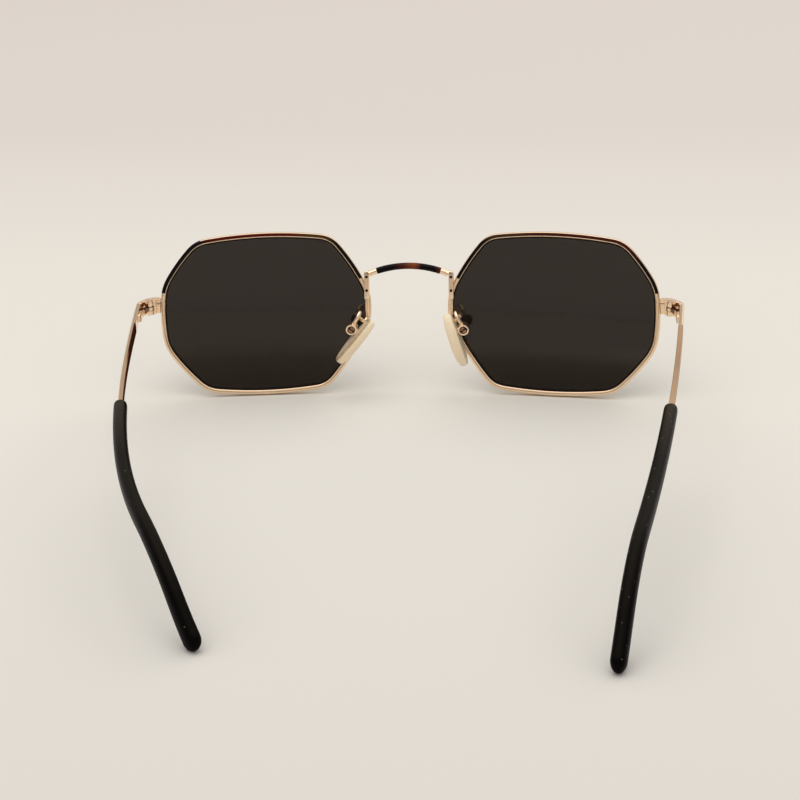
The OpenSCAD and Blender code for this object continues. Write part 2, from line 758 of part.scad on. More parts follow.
module pad_arm(side) {
  count = len(arm_path);
  first_way = unit(arm_knots[1] - arm_knots[0]);
  last_way = unit(arm_knots[len(arm_knots) - 1] - arm_knots[len(arm_knots) - 2]);
  // A round ring needs no upright side, so it is set across a fixed sideways vector
  function arm_way(i) = i == 0 ? first_way : i == count - 1 ? last_way
    : unit(arm_path[i + 1] - arm_path[i - 1]);
  function arm_ring(p, way) = let (across = unit(cross(way, [0.6, 0.75, 0.1])), up = cross(across, way))
    [for (k = [0:11]) p + (across * cos(k * 30) + up * sin(k * 30)) * arm_dia / 2];
  color(GOLD)
    on_side(side)
      skin([for (i = [0:count - 1]) arm_ring(arm_path[i], arm_way(i))]);
}

// Frame of the pad screw: Y along it, Z up along the pad, X away from the nose
module on_pivot(lean) {
  translate(pad_pivot)
    rotate([0, -lean, 0])
      children();
}

module along_screw(from_y, length, dia) {
  translate([0, from_y, 0])
    rotate([-90, 0, 0])
      cylinder(d = dia, h = length, $fn = ROUND);
}

// How far behind the pad screw the way out for the pad's neck begins
NECK_WAY = 0.55;
module pad_box(side) {
  slot = tab_thick + 2 * tab_fit;
  inner = tab_dia / 2 + tab_fit;
  color(GOLD)
    on_side(side)
      on_pivot(pad_tilt)
        difference() {
          along_screw(-box_length / 2, box_length, box_dia);
          translate([-box_dia, -slot / 2, -box_dia])
            cube([box_dia + inner, slot, box_dia + inner]);
          translate([-box_dia, -slot / 2, 0])
            cube([box_dia - NECK_WAY, slot, box_dia]);
          along_screw(-box_length, 2 * box_length, pad_screw_dia + 2 * bore_fit);
          along_screw(box_length / 2 - pad_head_thick, box_length, pad_head_dia + 2 * head_room);
        }
}

module pad_screw(side) {
  seat = box_length / 2 - pad_head_thick + SEAT;
  color(GOLD)
    on_side(side)
      on_pivot(pad_tilt)
        difference() {
          union() {
            along_screw(-box_length / 2, box_length / 2 + seat, pad_screw_dia);
            along_screw(seat, pad_head_thick, pad_head_dia);
          }
          translate([-1, seat + pad_head_thick / 2, -DRIVER_SLOT / 2])
            cube([2, 1, DRIVER_SLOT]);
        }
}

function rock_of(side) = side == LEFT ? rock_left : rock_right;
NECK = 1.3;
// The tab, its neck and the plate, all grown by fit
module insert_body(fit) {
  plate = [plate_thick, plate_width, plate_length] + 2 * fit * [1, 1, 1];
  neck = [pad_stand - tab_dia / 4, tab_thick, NECK] + 2 * fit * [0, 1, 1];
  translate([-pad_stand, 0, -pad_drop] - plate / 2)
    cube(plate);
  translate([-pad_stand, -neck.y / 2, -neck.z / 2])
    cube(neck);
}

module pad_insert(side) {
  color(GOLD)
    on_side(side)
      on_pivot(pad_tilt + rock_of(side))
        difference() {
          union() {
            insert_body(0);
            along_screw(-tab_thick / 2, tab_thick, tab_dia);
          }
          along_screw(-tab_thick, 2 * tab_thick, pad_screw_dia + 2 * bore_fit);
        }
}

// Egg-shaped outline of a pad, broader below
function pad_outline() = [for (a = [0:10:350])
  [pad_width / 2 * cos(a) * (1 - 0.1 * sin(a)), pad_length / 2 * sin(a)]];

module nose_pad(side) {
  color(IVORY)
    on_side(side)
      on_pivot(pad_tilt + rock_of(side))
        difference() {
          translate([-pad_stand, 0, -pad_drop])
            intersection() {
              rotate([90, 0, 90])
                translate([0, 0, -pad_thick])
                  linear_extrude(2 * pad_thick)
                    polygon(pad_outline());
              translate([pad_thick / 2 - pad_crown, 0, 0])
                sphere(r = pad_crown, $fn = SPHERE);
              translate([pad_crown - pad_thick / 2, 0, 0])
                sphere(r = pad_crown, $fn = SPHERE);
            }
          insert_body(plate_fit);
        }
}

rim(LEFT);  // rim_left
rim(RIGHT);  // rim_right
lens(LEFT);  // lens_left
lens(RIGHT);  // lens_right
bridge();
bridge_lug(LEFT);  // bridge_lug_left
bridge_lug(RIGHT);  // bridge_lug_right
end_piece(LEFT);  // end_piece_left
end_piece(RIGHT);  // end_piece_right
closing_block(LEFT);  // closing_block_left
closing_block(RIGHT);  // closing_block_right
closing_ear(LEFT);  // closing_ear_left
closing_ear(RIGHT);  // closing_ear_right
rim_screw(LEFT);  // rim_screw_left
rim_screw(RIGHT);  // rim_screw_right
hinge_front(LEFT);  // hinge_front_left
hinge_front(RIGHT);  // hinge_front_right
hinge_screw(LEFT);  // hinge_screw_left
hinge_screw(RIGHT);  // hinge_screw_right
hinge_leaf(LEFT);  // hinge_leaf_left
hinge_leaf(RIGHT);  // hinge_leaf_right
temple_bar(LEFT);  // temple_bar_left
temple_bar(RIGHT);  // temple_bar_right
temple_tip(LEFT);  // temple_tip_left
temple_tip(RIGHT);  // temple_tip_right
pad_arm(LEFT);  // pad_arm_left
pad_arm(RIGHT);  // pad_arm_right
pad_box(LEFT);  // pad_box_left
pad_box(RIGHT);  // pad_box_right
pad_screw(LEFT);  // pad_screw_left
pad_screw(RIGHT);  // pad_screw_right
pad_insert(LEFT);  // pad_insert_left
pad_insert(RIGHT);  // pad_insert_right
nose_pad(LEFT);  // nose_pad_left
nose_pad(RIGHT);  // nose_pad_right
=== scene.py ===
import bpy
from math import sin, cos, asin, pi, radians, sqrt, copysign, ceil
from mathutils import Vector, Matrix


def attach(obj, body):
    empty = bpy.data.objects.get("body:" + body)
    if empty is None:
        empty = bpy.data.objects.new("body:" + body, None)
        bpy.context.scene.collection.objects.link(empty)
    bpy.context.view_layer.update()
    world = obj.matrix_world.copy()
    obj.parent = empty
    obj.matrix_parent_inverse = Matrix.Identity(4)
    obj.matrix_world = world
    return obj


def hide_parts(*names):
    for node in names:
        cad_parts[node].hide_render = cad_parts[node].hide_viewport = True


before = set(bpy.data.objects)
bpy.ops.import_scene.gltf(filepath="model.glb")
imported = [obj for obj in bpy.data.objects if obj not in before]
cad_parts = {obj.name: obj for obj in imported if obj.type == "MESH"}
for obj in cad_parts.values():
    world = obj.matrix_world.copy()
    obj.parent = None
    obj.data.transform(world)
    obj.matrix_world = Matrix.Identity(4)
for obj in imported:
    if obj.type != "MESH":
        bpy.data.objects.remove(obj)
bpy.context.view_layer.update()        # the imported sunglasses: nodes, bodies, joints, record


# Camera
# The photograph was taken from behind and above, from a little under 0.5 m away.
# The camera's place and turn were fitted to the lens edges and the temples.
MM = 0.001
CAMERA_AT = Vector((-39.957, 385.149, 176.436)) * MM
PITCH, YAW, ROLL = radians(21.425), radians(5.387), radians(-1.64)
FOCAL_PIXELS, IMAGE_PIXELS, SENSOR_WIDTH = 1937.7, 800, 36

forward = Vector((sin(YAW) * cos(PITCH), -cos(YAW) * cos(PITCH), -sin(PITCH)))
level = forward.cross(Vector((0, 0, 1))).normalized()
upright = level.cross(forward)
camera_x = cos(ROLL) * level + sin(ROLL) * upright
camera_y = -sin(ROLL) * level + cos(ROLL) * upright
bpy.ops.object.select_all(action="DESELECT")
bpy.ops.object.camera_add(location=CAMERA_AT)
camera = bpy.context.object
camera.name = "camera"
camera.rotation_mode = "QUATERNION"
camera.rotation_quaternion = Matrix((camera_x, camera_y, -forward)).transposed().to_quaternion()
camera.data.sensor_width = SENSOR_WIDTH
camera.data.lens = FOCAL_PIXELS / IMAGE_PIXELS * SENSOR_WIDTH
camera.data.clip_start = 0.01
bpy.context.scene.camera = camera
bpy.context.scene.view_settings.view_transform = "Standard"


# Table and light
# A sheet of pale paper on a table, a shade warmer towards the far end. Broad soft
# lamps above and a bright room round it leave only faint shadows at the contacts.
TABLE_SIZE = 3.6
LAMP_COLOUR = (1, 0.97, 0.93)


def painted(name, colour, rough):
    """A new material, its node tree and its shader."""
    material = bpy.data.materials.new(name)
    material.use_nodes = True
    shader = material.node_tree.nodes["Principled BSDF"]
    shader.inputs["Base Color"].default_value = (*colour, 1)
    shader.inputs["Roughness"].default_value = rough
    return material, material.node_tree, shader


def wire(tree, source, target):
    tree.links.new(source, target)


def value_range(tree, start, end, to_start=0, to_end=1):
    """Turns values from start to end into others, held at both ends."""
    node = tree.nodes.new("ShaderNodeMapRange")
    for label, value in (("From Min", start), ("From Max", end), ("To Min", to_start), ("To Max", to_end)):
        node.inputs[label].default_value = value
    return node


def colour_ramp(tree, stops, easing="LINEAR"):
    """Colours at the given places, from the lowest place to the highest."""
    node = tree.nodes.new("ShaderNodeValToRGB")
    ramp = node.color_ramp
    ramp.interpolation = easing
    for element, (at, colour) in zip(ramp.elements, (stops[0], stops[-1])):
        element.position, element.color = at, (*colour, 1)
    for at, colour in stops[1:-1]:
        ramp.elements.new(at).color = (*colour, 1)
    return node


def colour_blend(tree, second=(1, 1, 1)):
    node = tree.nodes.new("ShaderNodeMix")
    node.data_type = "RGBA"
    node.inputs["B"].default_value = (*second, 1)
    return node


def soft_lamp(name, place, size, power):
    bpy.ops.object.select_all(action="DESELECT")
    bpy.ops.object.light_add(type="AREA", location=place)
    lamp = bpy.context.object
    lamp.name = name
    lamp.data.shape = "DISK"
    lamp.data.size = size
    lamp.data.energy = power
    lamp.data.color = LAMP_COLOUR
    lamp.rotation_mode = "QUATERNION"
    lamp.rotation_quaternion = (-Vector(place)).to_track_quat("-Z", "Y")


bpy.ops.object.select_all(action="DESELECT")
bpy.ops.mesh.primitive_plane_add(size=TABLE_SIZE, location=(0, 0, 0))
table = bpy.context.object
table.name = "table"
paper, tree, shader = painted("paper", (0.75, 0.72, 0.64), 0.75)
place = tree.nodes.new("ShaderNodeTexCoord")
split = tree.nodes.new("ShaderNodeSeparateXYZ")
# Painted light: along Y the paper is painted lightest in a band just beyond the glasses, darker towards the
# camera and a little darker far off; its warmth grows towards the far end.
reach = value_range(tree, 0.25, -0.75)
shades = colour_ramp(tree, [
    (0, (0.601, 0.580, 0.559)), (0.30, (0.716, 0.697, 0.653)), (0.42, (0.715, 0.690, 0.645)),
    (0.6, (0.654, 0.616, 0.583)), (1, (0.666, 0.614, 0.586))])
wire(tree, place.outputs["Object"], split.inputs[0])
wire(tree, split.outputs["Y"], reach.inputs["Value"])
wire(tree, reach.outputs["Result"], shades.inputs["Fac"])
wire(tree, shades.outputs["Color"], shader.inputs["Base Color"])
table.data.materials.append(paper)

soft_lamp("lamp_above", (0.15, 0.1, 1.3), 1.3, 5.2)
soft_lamp("lamp_front", (-0.6, -1.1, 0.9), 1.1, 1.6)

# The room is darker low down on the camera's side and halfway up on the far side.
# The metal mirrors these bands as its dark lines.
room = bpy.data.worlds.new("room")
bpy.context.scene.world = room
room.use_nodes = True
tree = room.node_tree
place = tree.nodes.new("ShaderNodeTexCoord")
split = tree.nodes.new("ShaderNodeSeparateXYZ")
walls = colour_ramp(tree, [
    (0.028, (0.63, 0.58, 0.53)), (0.06, (0.22, 0.20, 0.175)), (0.13, (0.19, 0.175, 0.155)),
    (0.22, (0.36, 0.345, 0.32)), (0.42, (0.60, 0.585, 0.56)), (0.64, (1.05, 1.02, 0.98))], "EASE")
far_walls = colour_ramp(tree, [
    (0.28, (0.74, 0.71, 0.67)), (0.38, (0.42, 0.395, 0.36)), (0.52, (0.42, 0.395, 0.36)),
    (0.70, (1.05, 1.02, 0.98))], "EASE")
far_side = value_range(tree, 0.35, -0.15)
all_walls = colour_blend(tree)
seen = tree.nodes.new("ShaderNodeLightPath")
backdrop = colour_blend(tree, (0.72, 0.67, 0.62))
wire(tree, place.outputs["Generated"], split.inputs[0])
wire(tree, split.outputs["Z"], walls.inputs["Fac"])
wire(tree, split.outputs["Z"], far_walls.inputs["Fac"])
wire(tree, split.outputs["Y"], far_side.inputs["Value"])
wire(tree, far_side.outputs["Result"], all_walls.inputs["Factor"])
wire(tree, walls.outputs["Color"], all_walls.inputs["A"])
wire(tree, far_walls.outputs["Color"], all_walls.inputs["B"])
wire(tree, seen.outputs["Is Camera Ray"], backdrop.inputs["Factor"])
wire(tree, all_walls.outputs["Result"], backdrop.inputs["A"])
wire(tree, backdrop.outputs["Result"], tree.nodes["Background"].inputs["Color"])
tree.nodes["Background"].inputs["Strength"].default_value = 1


# Rims
# Each rim is a drawn, gold plated wire with a groove inside for the lens and a cut
# at the temple side. Tortoise lacquer is baked on the outside of its upper half.
SIDES = ((1, "left"), (-1, "right"))     # of the wearer; left is +X
LENS_AT = Vector((35.8603, -69.9806, 20.2101))
TILT, WRAP = radians(9.2), radians(6)
LENS_RADIUS = 260
LENS_WIDTH, LENS_HEIGHT = 51, 39.3
TOP_EDGE, BOTTOM_EDGE, NASAL_EDGE, TEMPORAL_EDGE = 33, 29.7, 7.3, 14.6
BOW, CORNER = 0.038, 2.6
EDGE_POINTS, CORNER_POINTS = 22, 7
CUT_AT, CUT_HALF = 4.24, 0.06
LACQUER_TEMPLE, LACQUER_NOSE = 6.2, 8.3  # how high the lacquer starts at either side
WRAPS_OVER_FROM = 15.5                   # where it also covers the left rim's outside
DARK = (0.002, 0.001, 0.001)

top = LENS_HEIGHT / 2 - BOW * TOP_EDGE
bottom = -LENS_HEIGHT / 2 + BOW * BOTTOM_EDGE
nasal = -LENS_WIDTH / 2 + BOW * NASAL_EDGE
temporal = LENS_WIDTH / 2 - BOW * TEMPORAL_EDGE
lens_corners = [Vector(p) for p in (
    (TOP_EDGE / 2, top - 0.2), (-TOP_EDGE / 2, top + 0.2),
    (nasal, 1.4 + NASAL_EDGE / 2), (nasal, 1.4 - NASAL_EDGE / 2),
    (0.4 - BOTTOM_EDGE / 2, bottom + 0.15), (0.4 + BOTTOM_EDGE / 2, bottom - 0.15),
    (temporal, -TEMPORAL_EDGE / 2), (temporal, TEMPORAL_EDGE / 2))]


def quarter_turn(v):
    return Vector((v.y, -v.x))


def bowed_edge(i, t):
    """A point of the lens's slightly bowed side i, at the share t of its length."""
    a, b = lens_corners[i % 8], lens_corners[(i + 1) % 8]
    out = quarter_turn(b - a).normalized()
    return a + (b - a) * t + out * BOW * (b - a).length * 4 * t * (1 - t)


def edge_heading(i, t):
    a, b = lens_corners[i % 8], lens_corners[(i + 1) % 8]
    out = quarter_turn(b - a).normalized()
    return ((b - a) + out * BOW * (b - a).length * 4 * (1 - 2 * t)).normalized()


def corner_share(i):
    return CORNER / (lens_corners[(i + 1) % 8] - lens_corners[i % 8]).length


def lens_edge():
    """The lens outline, from its first corner once round."""
    points = []
    for i in range(8):
        before, cut = (i + 7) % 8, corner_share(i)
        leaves = 1 - corner_share(before)
        a, u = bowed_edge(before, leaves), edge_heading(before, leaves)
        c, w = bowed_edge(i, cut), edge_heading(i, cut)
        b = a + u * ((c - a).dot(quarter_turn(w)) / u.dot(quarter_turn(w)))
        for k in range(1, CORNER_POINTS):
            t = k / CORNER_POINTS
            points.append(a * (1 - t) ** 2 + b * 2 * t * (1 - t) + c * t * t)
        for k in range(EDGE_POINTS + 1):
            points.append(bowed_edge(i, cut + (1 - 2 * cut) * k / EDGE_POINTS))
    return points


def edge_normals(points):
    count = len(points)
    return [quarter_turn(points[(i + 1) % count] - points[i - 1]).normalized() for i in range(count)]


def on_side(p, side):
    """A point in millimetres, on the wearer's left or right, in metres."""
    return Vector((p.x * side, p.y, p.z)) * MM


def on_lens(x, y, depth, side):
    """A point of the lens's own frame in metres; depth is out of its front."""
    z = sqrt((LENS_RADIUS + depth) ** 2 - x * x - y * y) - LENS_RADIUS
    return on_side(LENS_AT + Vector((
        x * cos(WRAP) + (y * sin(TILT) + z * cos(TILT)) * sin(WRAP),
        x * sin(WRAP) - (y * sin(TILT) + z * cos(TILT)) * cos(WRAP),
        y * cos(TILT) - z * sin(TILT))), side)


def wrapped(name, rings):
    """A flat grid laid over rings of points and sewn shut, with its layout kept as UVs."""
    rows, count = len(rings) - 1, len(rings[0])
    bpy.ops.object.select_all(action="DESELECT")
    bpy.ops.mesh.primitive_grid_add(x_subdivisions=rows, y_subdivisions=count, size=1, location=(0, 0, 0))
    piece = bpy.context.object
    piece.name = piece.data.name = name
    for v in piece.data.vertices:
        v.co = rings[round((v.co.x + 0.5) * rows)][round((v.co.y + 0.5) * count) % count]
    bpy.ops.object.mode_set(mode="EDIT")
    bpy.ops.mesh.select_all(action="SELECT")
    bpy.ops.mesh.remove_doubles(threshold=2e-7)
    bpy.ops.mesh.select_all(action="DESELECT")
    bpy.ops.mesh.select_non_manifold(extend=False, use_wire=False, use_boundary=True,
                                     use_multi_face=False, use_non_contiguous=False, use_verts=False)
    bpy.ops.mesh.fill_holes(sides=0)
    bpy.ops.mesh.select_all(action="SELECT")
    bpy.ops.mesh.normals_make_consistent(inside=False)
    bpy.ops.object.mode_set(mode="OBJECT")
    return piece


def laid_at(piece, face):
    """Where a face was laid on its grid, as shares of the rows and of the ring."""
    uv = [piece.data.uv_layers[0].data[k].uv for k in face.loop_indices]
    return sum(p.x for p in uv) / len(uv), sum(p.y for p in uv) / len(uv)


def coated(piece, *materials):
    piece.data.materials.clear()
    for material in materials:
        piece.data.materials.append(material)


def smoothed(piece, degrees):
    bpy.ops.object.select_all(action="DESELECT")
    piece.select_set(True)
    bpy.context.view_layer.objects.active = piece
    bpy.ops.object.shade_smooth_by_angle(angle=radians(degrees))


def new_group(name, inputs, outputs):
    """A shader node group with its default values, and the nodes at its two ends."""
    group = bpy.data.node_groups.new(name, "ShaderNodeTree")
    for label, kind, value in inputs:
        socket = group.interface.new_socket(name=label, in_out="INPUT", socket_type=kind)
        socket.default_value = value
    for label, kind in outputs:
        group.interface.new_socket(name=label, in_out="OUTPUT", socket_type=kind)
    return group, group.nodes.new("NodeGroupInput"), group.nodes.new("NodeGroupOutput")


def group_node(tree, group, values):
    node = tree.nodes.new("ShaderNodeGroup")
    node.node_tree = group
    for label, value in values:
        node.inputs[label].default_value = value
    return node


# Fine polishing marks and the slow change of tone over plated or moulded surfaces
polish, given, made = new_group("polish", [
    ("Tone A", "NodeSocketColor", (1, 1, 1, 1)), ("Tone B", "NodeSocketColor", (1, 1, 1, 1)),
    ("Tone Scale", "NodeSocketFloat", 300.0), ("Mark Scale", "NodeSocketFloat", 4000.0),
    ("Rough Low", "NodeSocketFloat", 0.1), ("Rough High", "NodeSocketFloat", 0.2)],
    [("Color", "NodeSocketColor"), ("Roughness", "NodeSocketFloat"), ("Height", "NodeSocketFloat")])
place = polish.nodes.new("ShaderNodeTexCoord")
tone = polish.nodes.new("ShaderNodeTexNoise")
tone.inputs["Detail"].default_value = 3
marks = polish.nodes.new("ShaderNodeTexNoise")
marks.inputs["Detail"].default_value = 5
blend = colour_blend(polish)
dullness = value_range(polish, 0, 1)
wire(polish, place.outputs["Object"], tone.inputs["Vector"])
wire(polish, place.outputs["Object"], marks.inputs["Vector"])
wire(polish, given.outputs["Tone Scale"], tone.inputs["Scale"])
wire(polish, given.outputs["Mark Scale"], marks.inputs["Scale"])
wire(polish, tone.outputs["Fac"], blend.inputs["Factor"])
wire(polish, given.outputs["Tone A"], blend.inputs["A"])
wire(polish, given.outputs["Tone B"], blend.inputs["B"])
wire(polish, marks.outputs["Fac"], dullness.inputs["Value"])
wire(polish, given.outputs["Rough Low"], dullness.inputs["To Min"])
wire(polish, given.outputs["Rough High"], dullness.inputs["To Max"])
wire(polish, blend.outputs["Result"], made.inputs["Color"])
wire(polish, dullness.outputs["Result"], made.inputs["Roughness"])
wire(polish, marks.outputs["Fac"], made.inputs["Height"])


def add_polish(tree, shader, tone_a, tone_b, tone_scale, mark_scale, low, high, bump):
    node = group_node(tree, polish, (
        ("Tone A", (*tone_a, 1)), ("Tone B", (*tone_b, 1)), ("Tone Scale", tone_scale),
        ("Mark Scale", mark_scale), ("Rough Low", low), ("Rough High", high)))
    relief = tree.nodes.new("ShaderNodeBump")
    relief.inputs["Strength"].default_value = bump
    relief.inputs["Distance"].default_value = 0.02 * MM
    wire(tree, node.outputs["Color"], shader.inputs["Base Color"])
    wire(tree, node.outputs["Roughness"], shader.inputs["Roughness"])
    wire(tree, node.outputs["Height"], relief.inputs["Height"])
    wire(tree, relief.outputs["Normal"], shader.inputs["Normal"])
    return node


gold, tree, shader = painted("gold_plate", (0.9, 0.66, 0.42), 0.15)
shader.inputs["Metallic"].default_value = 1
add_polish(tree, shader, (0.94, 0.73, 0.53), (0.90, 0.66, 0.44), 200, 3000, 0.12, 0.22, 0.05)

# How far along a piece a place is, from 0 to 1, with the ends of each stretch blurred
clouded_run, given, made = new_group("clouded_run", [
    ("Along", "NodeSocketFloat", 0.0), ("Start", "NodeSocketFloat", 0.0), ("End", "NodeSocketFloat", 1.0),
    ("Wander", "NodeSocketFloat", 0.05), ("Cloud Scale", "NodeSocketFloat", 100.0)],
    [("Share", "NodeSocketFloat")])
place = clouded_run.nodes.new("ShaderNodeTexCoord")
cloud = clouded_run.nodes.new("ShaderNodeTexNoise")
cloud.inputs["Detail"].default_value = 2
along = value_range(clouded_run, 0, 1)
backwards = clouded_run.nodes.new("ShaderNodeMath")
backwards.operation = "MULTIPLY"
backwards.inputs[1].default_value = -1
drift = value_range(clouded_run, 0, 1)
total = clouded_run.nodes.new("ShaderNodeMath")
wire(clouded_run, place.outputs["Object"], cloud.inputs["Vector"])
wire(clouded_run, given.outputs["Cloud Scale"], cloud.inputs["Scale"])
wire(clouded_run, given.outputs["Along"], along.inputs["Value"])
wire(clouded_run, given.outputs["Start"], along.inputs["From Min"])
wire(clouded_run, given.outputs["End"], along.inputs["From Max"])
wire(clouded_run, cloud.outputs["Fac"], drift.inputs["Value"])
wire(clouded_run, given.outputs["Wander"], backwards.inputs[0])
wire(clouded_run, backwards.outputs["Value"], drift.inputs["To Min"])
wire(clouded_run, given.outputs["Wander"], drift.inputs["To Max"])
wire(clouded_run, along.outputs["Result"], total.inputs[0])
wire(clouded_run, drift.outputs["Result"], total.inputs[1])
wire(clouded_run, total.outputs["Value"], made.inputs["Share"])


def lacquer(name, axis, start, end, wander, cloud_scale, gloss, stretches):
    """Tortoise lacquer: stretches of black, red and brown along a piece."""
    material, tree, shader = painted(name, (0.05, 0.01, 0.005), 0.25)
    shader.inputs["Specular IOR Level"].default_value = gloss
    place = tree.nodes.new("ShaderNodeTexCoord")
    split = tree.nodes.new("ShaderNodeSeparateXYZ")
    run = group_node(tree, clouded_run, (
        ("Start", start * MM), ("End", end * MM), ("Wander", wander), ("Cloud Scale", cloud_scale)))
    shades = colour_ramp(tree, stretches)
    wire(tree, place.outputs["Object"], split.inputs[0])
    wire(tree, split.outputs[axis], run.inputs["Along"])
    wire(tree, run.outputs["Share"], shades.inputs["Fac"])
    wire(tree, shades.outputs["Color"], shader.inputs["Base Color"])
    return material


tortoise = lacquer("tortoise_lacquer", "X", -62, 62, 0.05, 130, 0.12, [
    (0.03, DARK), (0.07, (0.05, 0.007, 0.002)), (0.26, (0.055, 0.008, 0.002)),
    (0.30, (0.05, 0.022, 0.006)), (0.335, (0.04, 0.018, 0.005)), (0.36, DARK), (0.64, DARK),
    (0.665, (0.06, 0.028, 0.006)), (0.70, (0.07, 0.030, 0.005)), (0.74, (0.085, 0.005, 0.001)),
    (0.89, (0.08, 0.004, 0.001)), (0.92, DARK)])

# Section of the wire: outwards from the lens edge, and towards the front
wire_section = [
    (-0.35, -0.45), (-0.35, -0.82), (-0.32, -0.94), (-0.26, -0.985), (-0.18, -0.975), (-0.13, -0.92),
    (-0.06, -0.95), (0.28, -0.95), (0.50, -0.90), (0.65, -0.80), (0.75, -0.64), (0.79, -0.40),
    (0.80, 0.0), (0.79, 0.40), (0.75, 0.64), (0.65, 0.80), (0.50, 0.90), (0.28, 0.95),
    (-0.06, 0.95), (-0.13, 0.92), (-0.18, 0.975), (-0.26, 0.985), (-0.32, 0.94), (-0.35, 0.82),
    (-0.35, 0.45), (0.03, 0.45), (0.03, -0.45)]
LACQUERED, OUTER_SIDE = (5, 6, 7, 8, 15, 16, 17, 18), range(9, 15)


def wire_path():
    """Outline points and normals, started and ended at the two lips of the cut."""
    points = lens_edge()
    normals = edge_normals(points)
    count = len(points)
    for i in range(count):
        a, b = points[i], points[(i + 1) % count]
        if a.x > 0 and a.y <= CUT_AT < b.y:
            break
    lips = [a + (b - a) * ((CUT_AT + d - a.y) / (b.y - a.y)) for d in (CUT_HALF, -CUT_HALF)]
    order = [(i + 1 + k) % count for k in range(count)]
    keep = [k for k in order if not (points[k].x > 0 and abs(points[k].y - CUT_AT) < 2.5 * CUT_HALF)]
    return ([(lips[0], normals[i])] + [(points[k], normals[k]) for k in keep] + [(lips[1], normals[i])])


for side, which in SIDES:
    path = wire_path()
    rings = [[on_lens(p.x + n.x * u, p.y + n.y * u, d, side) for u, d in wire_section] for p, n in path]
    eyewire = wrapped("eyewire_" + which, rings)
    coated(eyewire, gold, tortoise)
    for face in eyewire.data.polygons:
        if len(face.vertices) == 4:
            row, turn = laid_at(eyewire, face)
            i, k = int(row * (len(rings) - 1)), int(turn * len(wire_section))
            middle = (path[i][0] + path[i + 1][0]) / 2
            high = middle.y > (LACQUER_TEMPLE if middle.x > 0 else LACQUER_NOSE)
            wraps_over = which == "left" and middle.x > WRAPS_OVER_FROM and k in OUTER_SIDE
            if high and (k in LACQUERED or wraps_over):
                face.material_index = 1
    smoothed(eyewire, 35)
    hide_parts("rim_" + which)
    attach(eyewire, "front")


# Lenses
# Smoke grey lenses, ground with a bevel that sits in the rim's groove. Seen from behind
# they are almost black and reflect the pale room evenly. Their bottom is painted a shade
# paler, as painted light against the shadow the lenses cast on the table seen in them.
PALER_FROM, PALER_TO = 14, 10
LENS_HALF = 0.9
# The ground bevel: outwards from the lens edge, and towards the front
ground_bevel = ((-0.68, LENS_HALF), (-0.39, 0.7), (-0.39, 0.42), (0, 0.38),
                (0, -0.38), (-0.39, -0.42), (-0.39, -0.7), (-0.68, -LENS_HALF))
face_shares = [0.97, 0.88, 0.72, 0.52, 0.3, 0.12, 0.0]

smoke, tree, shader = painted("smoke_glass", (0.012, 0.008, 0.005), 0.02)
shader.inputs["IOR"].default_value = 1.5
shader.inputs["Specular IOR Level"].default_value = 0.22
shader.inputs["Specular Tint"].default_value = (1, 0.94, 0.87, 1)
shader.inputs["Transmission Weight"].default_value = 0.9
node = add_polish(tree, shader, (0.0160, 0.0118, 0.0086), (0.0145, 0.0108, 0.0079),
                  60, 400, 0.0, 0.012, 0.0)
place = tree.nodes.new("ShaderNodeTexCoord")
split = tree.nodes.new("ShaderNodeSeparateXYZ")
# Painted light: towards the bottom the tint is painted paler, to offset the shaded table seen in and through
# the lens there.
lower = value_range(tree, PALER_FROM * MM, PALER_TO * MM)
lower.interpolation_type = "SMOOTHSTEP"
painted_lighter_bottom = colour_blend(tree, (0.0260, 0.0200, 0.0150))
wire(tree, place.outputs["Object"], split.inputs[0])
wire(tree, split.outputs["Z"], lower.inputs["Value"])
wire(tree, lower.outputs["Result"], painted_lighter_bottom.inputs["Factor"])
wire(tree, node.outputs["Color"], painted_lighter_bottom.inputs["A"])
wire(tree, painted_lighter_bottom.outputs["Result"], shader.inputs["Base Color"])
# The ground edge is a dark red-brown: the lens's own edge, deepened as painted shade for the thin gap along
# the rim.
ground, tree, shader = painted("ground_edge", (0.012, 0.005, 0.003), 0.6)
shader.inputs["Specular IOR Level"].default_value = 0.1
add_polish(tree, shader, (0.014, 0.005, 0.003), (0.006, 0.003, 0.002), 500, 5000, 0.5, 0.7, 0.2)

for side, which in SIDES:
    outline = lens_edge()
    normals = edge_normals(outline)
    edge = [[(p + n * grow, depth) for p, n in zip(outline, normals)] for grow, depth in ground_bevel]
    front = [[(p * share, LENS_HALF) for p, d in edge[0]] for share in reversed(face_shares)]
    back = [[(p * share, -LENS_HALF) for p, d in edge[-1]] for share in face_shares]
    rings = front + edge + back
    glass = wrapped("sun_lens_" + which, [[on_lens(p.x, p.y, d, side) for p, d in ring] for ring in rings])
    coated(glass, smoke, ground)
    for face in glass.data.polygons:
        if len(face.vertices) == 4:
            i = int(laid_at(glass, face)[0] * (len(rings) - 1))
            face.material_index = 1 if len(front) <= i < len(front) + len(edge) - 1 else 0
    smoothed(glass, 35)
    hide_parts("lens_" + which)
    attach(glass, "front")


# Bridge
# An arched wire soldered between the lugs. Its middle carries a sleeve of the same
# tortoise lacquer, thicker than the wire by the coat and rounded off at both ends.
BACK_PLANE = -70.2411
LUG_DEPTH = 1.4
ARCH_HALF, ARCH_RISE, ARCH_HEIGHT, ARCH_SIDES = 9.8, 2.0, 10.0, 28
ARCH_RADIUS = (ARCH_HALF ** 2 + ARCH_RISE ** 2) / (2 * ARCH_RISE)
WIRE_THICK, SOLDER, SOLDER_REACH = 0.72, 0.07, 0.6
SLEEVE_HALF, SLEEVE_THICK, COAT, COAT_ROUND = 7.9, 0.725, 0.075, 0.3


def front_point(x, back, up):
    """A point of the leaning plane behind the rims, in millimetres."""
    return Vector((x, BACK_PLANE + back * cos(TILT) - up * sin(TILT),
                   LENS_AT.z + back * sin(TILT) + up * cos(TILT)))


